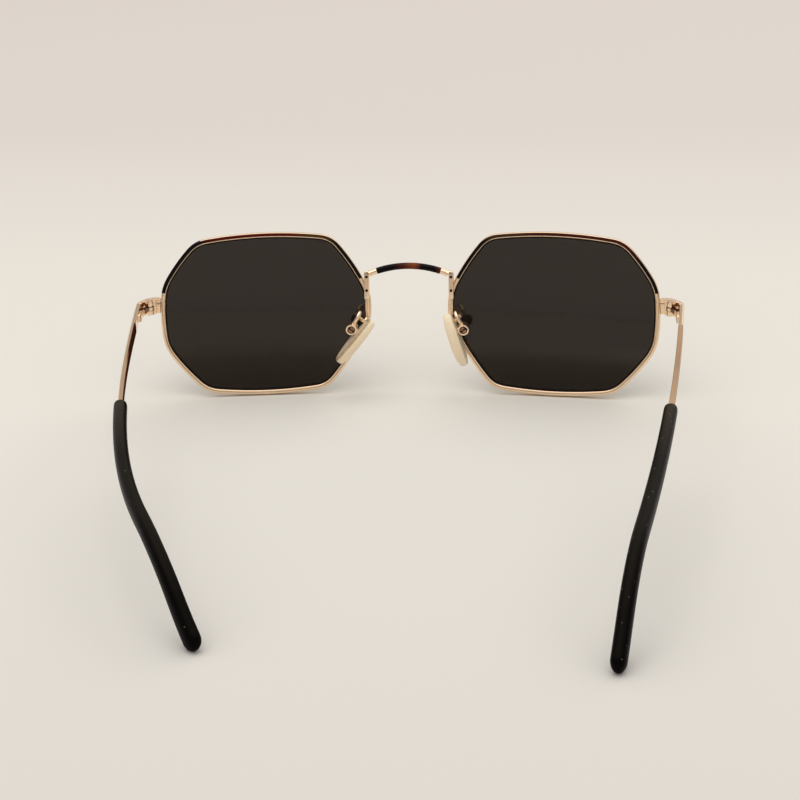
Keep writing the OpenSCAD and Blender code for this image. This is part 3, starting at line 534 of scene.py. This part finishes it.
def arch_tube(name, half, radius_at, steps):
    rings = []
    for i in range(steps + 1):
        x = -half + 2 * half * i / steps
        turn, r, ring = asin(x / ARCH_RADIUS), radius_at(x), []
        for k in range(ARCH_SIDES):
            a = 2 * pi * k / ARCH_SIDES
            out = ARCH_RADIUS + r * sin(a)
            ring.append(front_point(out * sin(turn), LUG_DEPTH / 2 + r * cos(a),
                                    ARCH_HEIGHT + ARCH_RISE - ARCH_RADIUS + out * cos(turn)) * MM)
        rings.append(ring)
    return wrapped(name, rings)


def wire_radius(x):
    return WIRE_THICK + SOLDER * max(0, 1 - (ARCH_HALF - abs(x)) / SOLDER_REACH) ** 2


def sleeve_radius(x):
    near = min(1, (SLEEVE_HALF - abs(x)) / COAT_ROUND)
    return SLEEVE_THICK + COAT * sqrt(max(0, 1 - (1 - near) ** 2))


bridge = arch_tube("bridge_wire", ARCH_HALF, wire_radius, 80)
coated(bridge, gold)
smoothed(bridge, 40)
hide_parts("bridge")
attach(bridge, "front")

# Along the sleeve the lacquer is black, red-brown, orange-brown, black and reddish
bridge_lacquer = lacquer("bridge_lacquer", "X", 8, -8, 0.05, 260, 0.08, [
    (0.26, DARK), (0.35, (0.035, 0.006, 0.003)), (0.43, (0.055, 0.011, 0.004)),
    (0.51, (0.15, 0.036, 0.010)), (0.58, (0.18, 0.045, 0.013)), (0.64, (0.10, 0.022, 0.008)),
    (0.69, DARK), (0.91, DARK), (0.96, (0.06, 0.010, 0.004))])
sleeve = arch_tube("bridge_sleeve", SLEEVE_HALF, sleeve_radius, 120)
coated(sleeve, bridge_lacquer)
smoothed(sleeve, 50)
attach(sleeve, "front")


# Lugs
# A small upright bar behind each rim at the nose, struck with two pits in its back.
# It is soldered to the rim and the bridge, and its top is rounded over to the wire.
LUG_X, LUG_WIDTH, LUG_LENGTH, LUG_TOP, LUG_SEAT = 10.5, 1.25, 7.2, 10.8, 0.02
TOP_ROUND, EDGE_ROUND = 0.85, 0.3
PIT_RADIUS, PIT_DEPTH, PITS_DOWN = 0.36, 0.6, (1.5, 4.9)
# Painted shade: a near-black brown laid inside the lug pits, the pad box's mouth and around the pad screw,
# where shade falls.
painted_pit_shade, tree, shader = painted("pit_shade", (0.02, 0.008, 0.004), 0.6)
add_polish(tree, shader, (0.020, 0.008, 0.004), (0.008, 0.004, 0.003), 900, 6000, 0.5, 0.8, 0.2)


def pick_edges(piece, wanted):
    """Select, for edit mode, the edges whose two ends pass a test."""
    bpy.context.tool_settings.mesh_select_mode = (False, True, False)
    for part in (piece.data.vertices, piece.data.edges, piece.data.polygons):
        for item in part:
            item.select = False
    for edge in piece.data.edges:
        edge.select = wanted(*(piece.data.vertices[k].co for k in edge.vertices))


def joined(piece, other, operation):
    """The other piece is cut out of this one, or made one with it, and is gone."""
    bpy.context.view_layer.objects.active = piece
    step = piece.modifiers.new("joined", "BOOLEAN")
    step.operation, step.solver, step.object = operation, "EXACT", other
    bpy.ops.object.modifier_apply(modifier=step.name)
    bpy.data.objects.remove(other)


for side, which in SIDES:
    bpy.ops.object.select_all(action="DESELECT")
    bpy.ops.mesh.primitive_cube_add(size=1, location=(0, 0, 0))
    lug = bpy.context.object
    lug.name = lug.data.name = "bridge_lug_" + which + "_struck"
    for v in lug.data.vertices:
        v.co = (v.co.x * LUG_WIDTH, v.co.y * LUG_DEPTH, v.co.z * LUG_LENGTH)
    pick_edges(lug, lambda a, b: min(a.z, b.z) > 0 and min(a.x, b.x) > 0)
    bpy.ops.object.mode_set(mode="EDIT")
    bpy.ops.mesh.bevel(offset=TOP_ROUND, segments=6, affect="EDGES")
    bpy.ops.mesh.select_all(action="DESELECT")
    bpy.ops.mesh.edges_select_sharp(sharpness=radians(50))
    bpy.ops.mesh.bevel(offset=EDGE_ROUND, segments=4, affect="EDGES")
    bpy.ops.object.mode_set(mode="OBJECT")
    for down in PITS_DOWN:
        bpy.ops.object.select_all(action="DESELECT")
        bpy.ops.mesh.primitive_cylinder_add(
            vertices=32, radius=PIT_RADIUS, depth=2 * PIT_DEPTH,
            location=(0, LUG_DEPTH / 2, LUG_LENGTH / 2 - down), rotation=(pi / 2, 0, 0))
        joined(lug, bpy.context.object, "DIFFERENCE")
    coated(lug, gold, painted_pit_shade)
    # Faces inside the two pits take the painted shade.
    for face in lug.data.polygons:
        c = face.center
        in_pit = abs(c.x) < PIT_RADIUS and any(
            abs(c.z - LUG_LENGTH / 2 + down) < PIT_RADIUS + 0.01 for down in PITS_DOWN)
        face.material_index = 1 if in_pit and 0 < c.y < LUG_DEPTH / 2 - 0.02 else 0
    for v in lug.data.vertices:
        v.co = on_side(front_point(LUG_X + v.co.x, LUG_SEAT + LUG_DEPTH / 2 + v.co.y,
                                   LUG_TOP - LUG_LENGTH / 2 + v.co.z), side)
    bpy.ops.object.select_all(action="DESELECT")
    lug.select_set(True)
    bpy.context.view_layer.objects.active = lug
    bpy.ops.object.mode_set(mode="EDIT")
    bpy.ops.mesh.select_all(action="SELECT")
    bpy.ops.mesh.normals_make_consistent(inside=False)
    bpy.ops.object.mode_set(mode="OBJECT")
    smoothed(lug, 35)
    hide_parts("bridge_lug_" + which)
    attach(lug, "front")


# End pieces and hinges
# Small parts struck or turned from the same alloy, soldered to the rims and plated
# with them. Their edges are rounded by tumbling before they are plated.
BLOCK_X = 63.58                 # where the end piece leaves the closing block
FALL, FALL_LENGTH, FALL_ABOVE = 0.75, 3.8, 24


def tumbled(node, round_by, body, where=None, pressed=None):
    """A merged copy of a CAD node, pressed to shape, its sharp edges rounded where a test passes."""
    piece = bpy.data.objects.new(node + "_finished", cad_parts[node].data.copy())
    bpy.context.scene.collection.objects.link(piece)
    bpy.ops.object.select_all(action="DESELECT")
    piece.select_set(True)
    bpy.context.view_layer.objects.active = piece
    coated(piece, gold)
    for face in piece.data.polygons:
        face.material_index = 0
    bpy.context.tool_settings.mesh_select_mode = (False, True, False)
    bpy.ops.object.mode_set(mode="EDIT")
    bpy.ops.mesh.select_all(action="SELECT")
    bpy.ops.mesh.remove_doubles(threshold=1e-6)
    bpy.ops.mesh.dissolve_limited(angle_limit=radians(1.5))
    bpy.ops.mesh.select_all(action="DESELECT")
    bpy.ops.mesh.edges_select_sharp(sharpness=radians(32))
    bpy.ops.object.mode_set(mode="OBJECT")
    for v in piece.data.vertices if pressed else ():
        v.co.z = pressed(v.co / MM) * MM
    weight = piece.data.attributes.new("bevel_weight_edge", "FLOAT", "EDGE")
    for edge in piece.data.edges:
        a, b = (piece.data.vertices[k].co / MM for k in edge.vertices)
        if edge.select and (where is None or where((a + b) / 2)):
            weight.data[edge.index].value = 1
    bevel = piece.modifiers.new("tumbled", "BEVEL")
    bevel.width = round_by * MM
    bevel.segments = 4
    bevel.limit_method = "WEIGHT"
    bpy.ops.object.modifier_apply(modifier=bevel.name)
    smoothed(piece, 38)
    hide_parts(node)
    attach(piece, body)
    return piece


def falling_top(p):
    """The end piece's top falls a little on its way out to the temple."""
    share = max(0, min(1, (abs(p.x) - BLOCK_X) / FALL_LENGTH))
    return p.z - (FALL * share * share * (3 - 2 * share) if p.z > FALL_ABOVE else 0)


for which in ("left", "right"):
    tumbled("end_piece_" + which, 0.3, "front",
            where=lambda p: abs(p.x) > BLOCK_X + 0.5, pressed=falling_top)
    tumbled("closing_block_" + which, 0.05, "front")
    tumbled("closing_ear_" + which, 0.05, "front")
    tumbled("rim_screw_" + which, 0.05, "front")
    tumbled("hinge_front_" + which, 0.1, "front")
    tumbled("hinge_screw_" + which, 0.08, "front")


# Temples
# A flat gold wire, springy, with its sides flattened and lacquered in tortoise. It
# thins to a core that the moulded tip is pushed on to.
BAR_AT = Vector((66.8316, -64.1763, 23.5101))
TEMPLE_LENGTH, TIP_START = 145, 58
SLOPE = -3.3254
OPEN_TURN = {"left": -5.6, "right": -3.6}
BOW_TURN = {"left": -7.9, "right": -7.6}
CURL_TURN = {"left": -27.7, "right": -0.8}
BEND_AT, BEND_ANGLE, BEND_RADIUS = 123.5, 42, 29
BEND_HALF = BEND_RADIUS * BEND_ANGLE * pi / 360
STEP_COUNT = ceil(TEMPLE_LENGTH / 2.9)
STEP = TEMPLE_LENGTH / STEP_COUNT
BAR_THICK, BAR_HIGH, BAR_HIGH_AT_TIP, BAR_SQUARE, BAR_SIDES = 1.2, 3, 2.4, 0.42, 40
END_ROUND, END_SHRINK = 0.25, 0.14
CORE_LENGTH, CORE_THICK, CORE_HIGH, CORE_SQUARE = 77, 1, 1.8, 0.5
LACQUER_START = 13
BARE_FROM, BARE_TO = {"left": 0, "right": 0.72}, 0.93      # across the bar's top, gold is left bare
AMBER, DARK_RED = (0.42, 0.27, 0.17), (0.045, 0.012, 0.006)


def bend_at(s):
    return BEND_ANGLE * max(0, min(1, (s - BEND_AT + BEND_HALF) / (2 * BEND_HALF)))


def temple_heading(which, s):
    plan = radians(OPEN_TURN[which] + BOW_TURN[which] * s / TEMPLE_LENGTH
                   + CURL_TURN[which] * (s / TEMPLE_LENGTH) ** 3)
    rise = radians(SLOPE - bend_at(s))
    return Vector((cos(rise) * sin(plan), cos(rise) * cos(plan), sin(rise)))


def temple_middle(which):
    """The middle line of a temple, as if it were the left one, in millimetres."""
    p, points = BAR_AT.copy(), [BAR_AT.copy()]
    for i in range(1, STEP_COUNT + 1):
        p = p + temple_heading(which, (i - 0.5) * STEP) * STEP
        points.append(p.copy())
    return points


def squared_ring(p, way, inner, outer, high, power, sides, side):
    """A rounded rectangle round a point, across the way that the piece runs."""
    across = Vector((way.y, -way.x, 0)).normalized()
    up = across.cross(way)
    ring = []
    for k in range(sides):
        a = (k + 0.5) * 2 * pi / sides
        out = (inner + outer) / 2 + (outer - inner) / 2 * copysign(abs(cos(a)) ** power, cos(a))
        ring.append(on_side(p + across * out + up * high / 2 * copysign(abs(sin(a)) ** power, sin(a)), side))
    return ring


def temple_ring(which, middle, s, thick, high, power, sides):
    i = max(0, min(STEP_COUNT - 1, int(s / STEP)))
    p = middle[i].lerp(middle[i + 1], s / STEP - i)
    return squared_ring(p, temple_heading(which, s), -thick / 2, thick / 2, high, power, sides,
                        1 if which == "left" else -1)


bar_lacquer = {
    "left": lacquer("temple_lacquer_left", "Y", -65, -5, 0.06, 90, 0, [
        (0.0, DARK_RED), (0.50, DARK_RED), (0.56, (0.26, 0.14, 0.08)), (0.62, AMBER),
        (0.94, AMBER), (1.0, (0.20, 0.09, 0.05))]),
    "right": lacquer("temple_lacquer_right", "Y", -65, -5, 0.12, 140, 0, [
        (0.1, (0.46, 0.33, 0.23)), (0.35, AMBER), (0.6, (0.36, 0.235, 0.15)),
        (0.95, (0.47, 0.31, 0.195))])}
inner_side = {
    "left": lacquer("temple_side_left", "Y", -65, -5, 0.06, 90, 0, [
        (0.0, DARK_RED), (0.55, DARK_RED), (0.80, (0.055, 0.017, 0.006)),
        (1.0, (0.03, 0.008, 0.002))]),
    "right": lacquer("temple_side_right", "Y", -65, -5, 0.10, 140, 0, [
        (0.0, (0.40, 0.28, 0.19)), (0.40, (0.30, 0.20, 0.125)), (0.7, (0.17, 0.115, 0.065)),
        (1.0, (0.13, 0.085, 0.045))])}
for which in ("left", "right"):
    middle = temple_middle(which)
    places = [0, 0.06, 0.2] + [0.6 * k for k in range(1, 97)] + [TIP_START - 0.1]
    rings = []
    for s in places:
        ease = 1 - END_SHRINK * sqrt(max(0, 1 - min(1, s / END_ROUND) ** 2))
        high = BAR_HIGH + (BAR_HIGH_AT_TIP - BAR_HIGH) * s / TIP_START
        rings.append(temple_ring(which, middle, s, BAR_THICK * ease, high * ease, BAR_SQUARE, BAR_SIDES))
    rings += [temple_ring(which, middle, TIP_START + CORE_LENGTH * k / 30,
                          CORE_THICK, CORE_HIGH, CORE_SQUARE, BAR_SIDES) for k in range(31)]
    bar = wrapped("temple_wire_" + which, rings)
    coated(bar, gold, bar_lacquer[which], inner_side[which])
    for face in bar.data.polygons:
        if len(face.vertices) == 4:
            row, turn = laid_at(bar, face)
            i, k = int(row * (len(rings) - 1)), int(turn * BAR_SIDES)
            a = 2 * pi * (k + 1) / BAR_SIDES
            outwards, upwards = cos(a), sin(a)
            bare = upwards > 0 and BARE_FROM[which] < outwards < BARE_TO
            if not bare and i < len(places) - 1 and places[i] > LACQUER_START:
                face.material_index = 2 if outwards < -0.7 else 1
    smoothed(bar, 35)
    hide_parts("temple_bar_" + which)
    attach(bar, "temple_" + which)

# The hinge's leaf runs out of its barrel in one sweep and is soldered along the wire.
# Its profile gives places along the wire, the inner and outer side, and the height.
PIN_AT = Vector((64.2316, -64.2763, 23.5101))
BARREL_RADIUS, BARREL_HALF, BORE, BARREL_ROUND, BARREL_SIDES = 1.05, 0.545, 0.54, 0.12, 48
LEAF_SQUARE, LEAF_SIDES = 0.4, 32
# how far along the wire, in millimetres, the leaf's top is painted dark as shade, in the colour of the
# lacquer
PAINTED_SHADE_ON_LEAF = 4
leaf_profile = [
    (0.50, -3.20, -1.62, 0.98), (0.75, -3.06, -1.36, 0.97), (1.0, -2.82, -1.10, 0.96),
    (1.3, -2.62, -0.80, 0.98), (1.6, -2.44, -0.58, 1.20), (2.0, -2.18, -0.56, 1.62),
    (2.5, -1.86, -0.56, 1.94), (3.0, -1.62, -0.56, 2.06), (3.6, -1.44, -0.56, 2.10),
    (4.4, -1.32, -0.56, 2.10), (5.4, -1.26, -0.56, 2.10), (6.3, -1.22, -0.56, 2.06),
    (6.8, -1.16, -0.56, 1.96), (7.05, -1.04, -0.57, 1.82), (7.15, -0.90, -0.58, 1.66)]
barrel_corner = [(BARREL_RADIUS, BARREL_HALF - BARREL_ROUND),
                 (BARREL_RADIUS - BARREL_ROUND / 3, BARREL_HALF - BARREL_ROUND / 3),
                 (BARREL_RADIUS - BARREL_ROUND, BARREL_HALF), (BORE, BARREL_HALF)]
barrel_profile = [(r, -z) for r, z in reversed(barrel_corner)] + barrel_corner + [(BORE, -BARREL_HALF)]
for side, which in SIDES:
    way = temple_heading(which, 0)
    foot = wrapped("leaf_foot_" + which, [
        squared_ring(BAR_AT + way * s, way, inner, outer, high, LEAF_SQUARE, LEAF_SIDES, side)
        for s, inner, outer, high in leaf_profile])
    leaf = wrapped("leaf_" + which + "_swept", [
        [on_side(PIN_AT + Vector((r * cos(2 * pi * k / BARREL_SIDES), r * sin(2 * pi * k / BARREL_SIDES), z)),
                 side) for k in range(BARREL_SIDES)] for r, z in barrel_profile])
    joined(leaf, foot, "UNION")
    # The leaf's upward faces near the barrel take the left temple lacquer's dark red as painted shade: the
    # shadow line along the hinge.
    coated(leaf, gold, bar_lacquer["left"])
    for face in leaf.data.polygons:
        on_top = face.normal.z > 0.4 and face.center.y < (BAR_AT.y + PAINTED_SHADE_ON_LEAF) * MM
        face.material_index = 1 if on_top else 0
    smoothed(leaf, 35)
    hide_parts("hinge_leaf_" + which)
    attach(leaf, "temple_" + which)


# Temple tips
# Moulded black plastic, oval in section, with a collar at the mouth. It is a satin
# black with a few bright flecks in it, and its upward faces carry a painted grey sheen, strongest near the
# mouth.
TIP_ROUND, COLLAR, COLLAR_SHRINK, TIP_POWER, TIP_SIDES = 2.4, 0.7, 0.2, 0.85, 44
TIP_THICK, TIP_THICKER, TIP_HIGH, TIP_HIGHER = 3.0, 0.2, 3.5, 1.3
black, tree, shader = painted("black_tip", (0.004, 0.0035, 0.003), 0.3)
shader.inputs["Specular IOR Level"].default_value = 0.02
node = add_polish(tree, shader, (0.004, 0.0034, 0.0028), (0.0025, 0.002, 0.0017),
                  140, 2600, 0.24, 0.38, 0.2)
place = tree.nodes.new("ShaderNodeTexCoord")
fleck = tree.nodes.new("ShaderNodeTexVoronoi")
fleck.inputs["Scale"].default_value = 520
is_fleck = value_range(tree, 0.10, 0.04)
# Painted sheen: faces turned up in the world are mixed towards grey, most near the mouth.
facing = tree.nodes.new("ShaderNodeNewGeometry")
facing_split = tree.nodes.new("ShaderNodeSeparateXYZ")
on_top = value_range(tree, 0.55, 0.98, 0, 0.8)
place_split = tree.nodes.new("ShaderNodeSeparateXYZ")
near_mouth = value_range(tree, 0.020, -0.008, 0.22, 1)
sheen_share = tree.nodes.new("ShaderNodeMath")
sheen_share.operation = "MULTIPLY"
painted_top_sheen = colour_blend(tree, (0.048, 0.037, 0.027))
flecked = colour_blend(tree, (0.16, 0.14, 0.12))
wire(tree, facing.outputs["Normal"], facing_split.inputs[0])
wire(tree, facing_split.outputs["Z"], on_top.inputs["Value"])
wire(tree, place.outputs["Object"], place_split.inputs[0])
wire(tree, place_split.outputs["Y"], near_mouth.inputs["Value"])
wire(tree, on_top.outputs["Result"], sheen_share.inputs[0])
wire(tree, near_mouth.outputs["Result"], sheen_share.inputs[1])
wire(tree, sheen_share.outputs["Value"], painted_top_sheen.inputs["Factor"])
wire(tree, node.outputs["Color"], painted_top_sheen.inputs["A"])
wire(tree, place.outputs["Object"], fleck.inputs["Vector"])
wire(tree, fleck.outputs["Distance"], is_fleck.inputs["Value"])
wire(tree, is_fleck.outputs["Result"], flecked.inputs["Factor"])
wire(tree, painted_top_sheen.outputs["Result"], flecked.inputs["A"])
wire(tree, flecked.outputs["Result"], shader.inputs["Base Color"])


def tip_section(s):
    """Thickness and height of the tip, closed in at the collar and at the end."""
    share = max(0, min(1, (s - TIP_START) / (TEMPLE_LENGTH - TIP_ROUND - TIP_START)))
    tail = max(0, s - TEMPLE_LENGTH + TIP_ROUND) / TIP_ROUND
    lead = max(0, TIP_START + COLLAR - s) / COLLAR
    close = sqrt(max(0, 1 - tail * tail)) * (1 - COLLAR_SHRINK * (1 - sqrt(max(0, 1 - lead * lead))))
    return (TIP_THICK + TIP_THICKER * share) * close, (TIP_HIGH + TIP_HIGHER * share) * close


for which in ("left", "right"):
    middle = temple_middle(which)
    body_from, body_to = TIP_START + COLLAR, TEMPLE_LENGTH - TIP_ROUND
    places = ([TIP_START + COLLAR * (1 - cos(radians(a))) for a in range(0, 90, 12)]
              + [body_from + (body_to - body_from) * k / 110 for k in range(111)]
              + [body_to + TIP_ROUND * sin(radians(a)) for a in range(8, 90, 8)])
    rings = [temple_ring(which, middle, s, *tip_section(s), TIP_POWER, TIP_SIDES) for s in places]
    tip = wrapped("ear_tip_" + which, rings)
    coated(tip, black)
    smoothed(tip, 45)
    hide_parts("temple_tip_" + which)
    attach(tip, "temple_" + which)


# Pad arms, boxes and pads
# A bent gold wire ends in a small box. A screw through the box carries a plate, and
# the clear, slightly yellowed pad is moulded round the plate.
PAD_PIVOT = Vector((13.8, -63.6806, 18.5101))
PAD_TILT = radians(29)
ARM_RADIUS, BOX_RADIUS, ARM_SIDES, ARM_STEPS = 0.48, 1.35, 24, 12
ARM_FLARE, FLARE_LENGTH = 0.16, 0.75
BOX_MOUTH, MOUTH_EDGE, MOUTH_BACK = 0.975, 1.25, 1.38
SLOT_WIDTH, SLOT_DEPTH, SLOT_TURN = 0.26, 0.2, 38


def boxed(x, z):
    """A point over the pad box, turned with it, in millimetres."""
    return PAD_PIVOT + Vector((x * cos(PAD_TILT) - z * sin(PAD_TILT), 0,
                               x * sin(PAD_TILT) + z * cos(PAD_TILT)))


def off_pivot(p):
    """How far a point in millimetres is from the axis of the pad screw."""
    return Vector((abs(p.x) - PAD_PIVOT.x, p.z - PAD_PIVOT.z)).length


def eased(a, b, c, d, s):
    """A smooth curve through b and c."""
    return 0.5 * (2 * b + (c - a) * s + (2 * a - 5 * b + 4 * c - d) * s * s
                  + (3 * b - a - 3 * c + d) * s * s * s)


# Reddish brass for the pad screw, darkened in patches as painted shade, since the screw sits recessed in the
# box.
brass_with_painted_shade, tree, shader = painted("brass_with_painted_shade", (0.5, 0.3, 0.18), 0.35)
shader.inputs["Metallic"].default_value = 1
add_polish(tree, shader, (0.62, 0.36, 0.22), (0.07, 0.025, 0.015), 1500, 5000, 0.3, 0.45, 0.2)

crest = PAD_PIVOT + Vector((-1.85, -1.4, BOX_RADIUS + 2.3))
arm_knots = [
    front_point(LUG_X, LUG_DEPTH / 2, 4.2), front_point(LUG_X, LUG_DEPTH / 2, 3.58),
    front_point(LUG_X, LUG_DEPTH / 2, 1.3), front_point(LUG_X, LUG_DEPTH / 2, -1.0),
    PAD_PIVOT + Vector((-2.3, -4.8, 0.35)), crest + Vector((1.05, -2.35, -1.2)), crest,
    crest + Vector((0.2, 1.25, -0.6)), boxed(0.1, BOX_RADIUS + 0.55), boxed(0.1, BOX_RADIUS - 0.3)]
arm_path = []
for i in range(len(arm_knots) - 1):
    near = [arm_knots[max(0, min(len(arm_knots) - 1, i + k))] for k in (-1, 0, 1, 2)]
    arm_path += [eased(*near, k / ARM_STEPS) for k in range(ARM_STEPS)]
arm_path.append(arm_knots[-1])
turns = [2 * pi * k / ARM_SIDES for k in range(ARM_SIDES)]

for side, which in SIDES:
    rings, across = [], Vector((1, 0, 0))
    for i, p in enumerate(arm_path):
        way = (arm_path[min(i + 1, len(arm_path) - 1)] - arm_path[max(i - 1, 0)]).normalized()
        across = (across - way * across.dot(way)).normalized()
        up = way.cross(across)
        r = ARM_RADIUS + ARM_FLARE * max(0, 1 - (p - arm_path[-1]).length / FLARE_LENGTH) ** 2
        rings.append([on_side(p + (across * cos(a) + up * sin(a)) * r, side) for a in turns])
    arm = wrapped("pad_arm_" + which + "_wire", rings)
    coated(arm, gold)
    smoothed(arm, 50)
    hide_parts("pad_arm_" + which)
    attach(arm, "front")
    box = tumbled("pad_box_" + which, 0.22, "front", where=lambda p: off_pivot(p) > MOUTH_EDGE)
    coated(box, gold, painted_pit_shade)
    # The box's mouth, its bore and recess, takes the painted shade.
    for face in box.data.polygons:
        c = face.center / MM
        in_mouth = off_pivot(c) < BOX_MOUTH and c.y < PAD_PIVOT.y + MOUTH_BACK
        face.material_index = 1 if in_mouth else 0
    screw = tumbled("pad_screw_" + which, 0.14, "front")
    coated(screw, brass_with_painted_shade, painted_pit_shade)
    head = max(v.co.y for v in screw.data.vertices)
    bpy.ops.object.select_all(action="DESELECT")
    bpy.ops.mesh.primitive_cube_add(size=1, location=(PAD_PIVOT.x * side * MM, head, PAD_PIVOT.z * MM))
    cutter = bpy.context.object
    cutter.scale = (SLOT_WIDTH * MM, 2 * SLOT_DEPTH * MM, 2 * MM)
    cutter.rotation_euler = (0, radians(SLOT_TURN * side), 0)
    joined(screw, cutter, "DIFFERENCE")
    # All but the screw's flat head take the painted shade: its slot and sides.
    for face in screw.data.polygons:
        on_head = face.normal.y > 0.97 and face.center.y > head - 0.05 * MM
        face.material_index = 0 if on_head else 1
    tumbled("pad_insert_" + which, 0.06, "pad_" + which)

silicone, tree, shader = painted("pad_silicone", (0.99, 0.80, 0.60), 0.25)
shader.inputs["IOR"].default_value = 1.41
shader.inputs["Transmission Weight"].default_value = 0.1
shader.inputs["Subsurface Weight"].default_value = 0.5
shader.inputs["Subsurface Radius"].default_value = (1.0, 0.85, 0.6)
shader.inputs["Subsurface Scale"].default_value = 0.0016
add_polish(tree, shader, (1.0, 0.83, 0.64), (0.99, 0.78, 0.57), 240, 2400, 0.18, 0.32, 0.15)
over_plate, tree, shader = painted("plate_in_silicone", (0.6, 0.45, 0.26), 0.3)
add_polish(tree, shader, (0.66, 0.50, 0.30), (0.20, 0.13, 0.055), 1300, 3000, 0.2, 0.4, 0.4)

PAD_LENGTH, PAD_WIDTH, PAD_THICK, PAD_CROWN, PAD_ROUND, PAD_SIDES = 14, 7.2, 2.6, 70, 0.55, 64
PAD_NARROWING = 0.1
PAD_LEAN = {"left": 29 + 11, "right": 29 - 11}
PAD_STAND, PAD_DROP = 2.8, 2.2
PAD_FACE = (0.0, 0.25, 0.5, 0.72, 0.86)     # rings of its face, out to its rounded edge
PAD_FACE_END = 0.92
PLATE_FROM, PLATE_TO = 4.5, 9.5             # rows of the left pad's edge where the plate shows


def pad_point(which, x, y, z):
    """A point of the pad's own frame: X off its face, Z up along it."""
    lean = radians(PAD_LEAN[which])
    px, pz = x - PAD_STAND, z - PAD_DROP
    p = PAD_PIVOT + Vector((px * cos(lean) - pz * sin(lean), y, px * sin(lean) + pz * cos(lean)))
    return on_side(p, 1 if which == "left" else -1)


def pad_half(out):
    """Half the pad's thickness at a distance from its middle."""
    return PAD_THICK / 2 - (PAD_CROWN - sqrt(PAD_CROWN ** 2 - out * out))


def pad_outline():
    """Points round the pad, across it and along it, with their distance from its middle."""
    points = []
    for k in range(PAD_SIDES):
        a = 2 * pi * k / PAD_SIDES
        oy = PAD_WIDTH / 2 * cos(a) * (1 - PAD_NARROWING * sin(a))
        oz = PAD_LENGTH / 2 * sin(a)
        points.append((oy, oz, sqrt(oy * oy + oz * oz)))
    return points


def pad_face_ring(which, share, way):
    ring = []
    for oy, oz, length in pad_outline():
        inner = (1 - PAD_ROUND / length) * share / PAD_FACE_END
        ring.append(pad_point(which, pad_half(length * inner) * way, oy * inner, oz * inner))
    return ring


def pad_edge_ring(which, turn):
    ring = []
    for oy, oz, length in pad_outline():
        inner = 1 - PAD_ROUND / length + PAD_ROUND / length * cos(radians(turn))
        x = pad_half(length - PAD_ROUND) * sin(radians(turn))
        ring.append(pad_point(which, x, oy * inner, oz * inner))
    return ring


def pad_rings(which):
    return ([pad_face_ring(which, share, 1) for share in PAD_FACE]
            + [pad_edge_ring(which, turn) for turn in range(90, -91, -15)]
            + [pad_face_ring(which, share, -1) for share in reversed(PAD_FACE)])


for which in ("left", "right"):
    rings = pad_rings(which)
    pad = wrapped("pad_" + which + "_cushion", rings)
    coated(pad, silicone, over_plate)
    for face in pad.data.polygons:
        row = laid_at(pad, face)[0] * (len(rings) - 1)
        face.material_index = 1 if which == "left" and PLATE_FROM < row < PLATE_TO else 0
    smoothed(pad, 60)
    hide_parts("nose_pad_" + which)
    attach(pad, "pad_" + which)
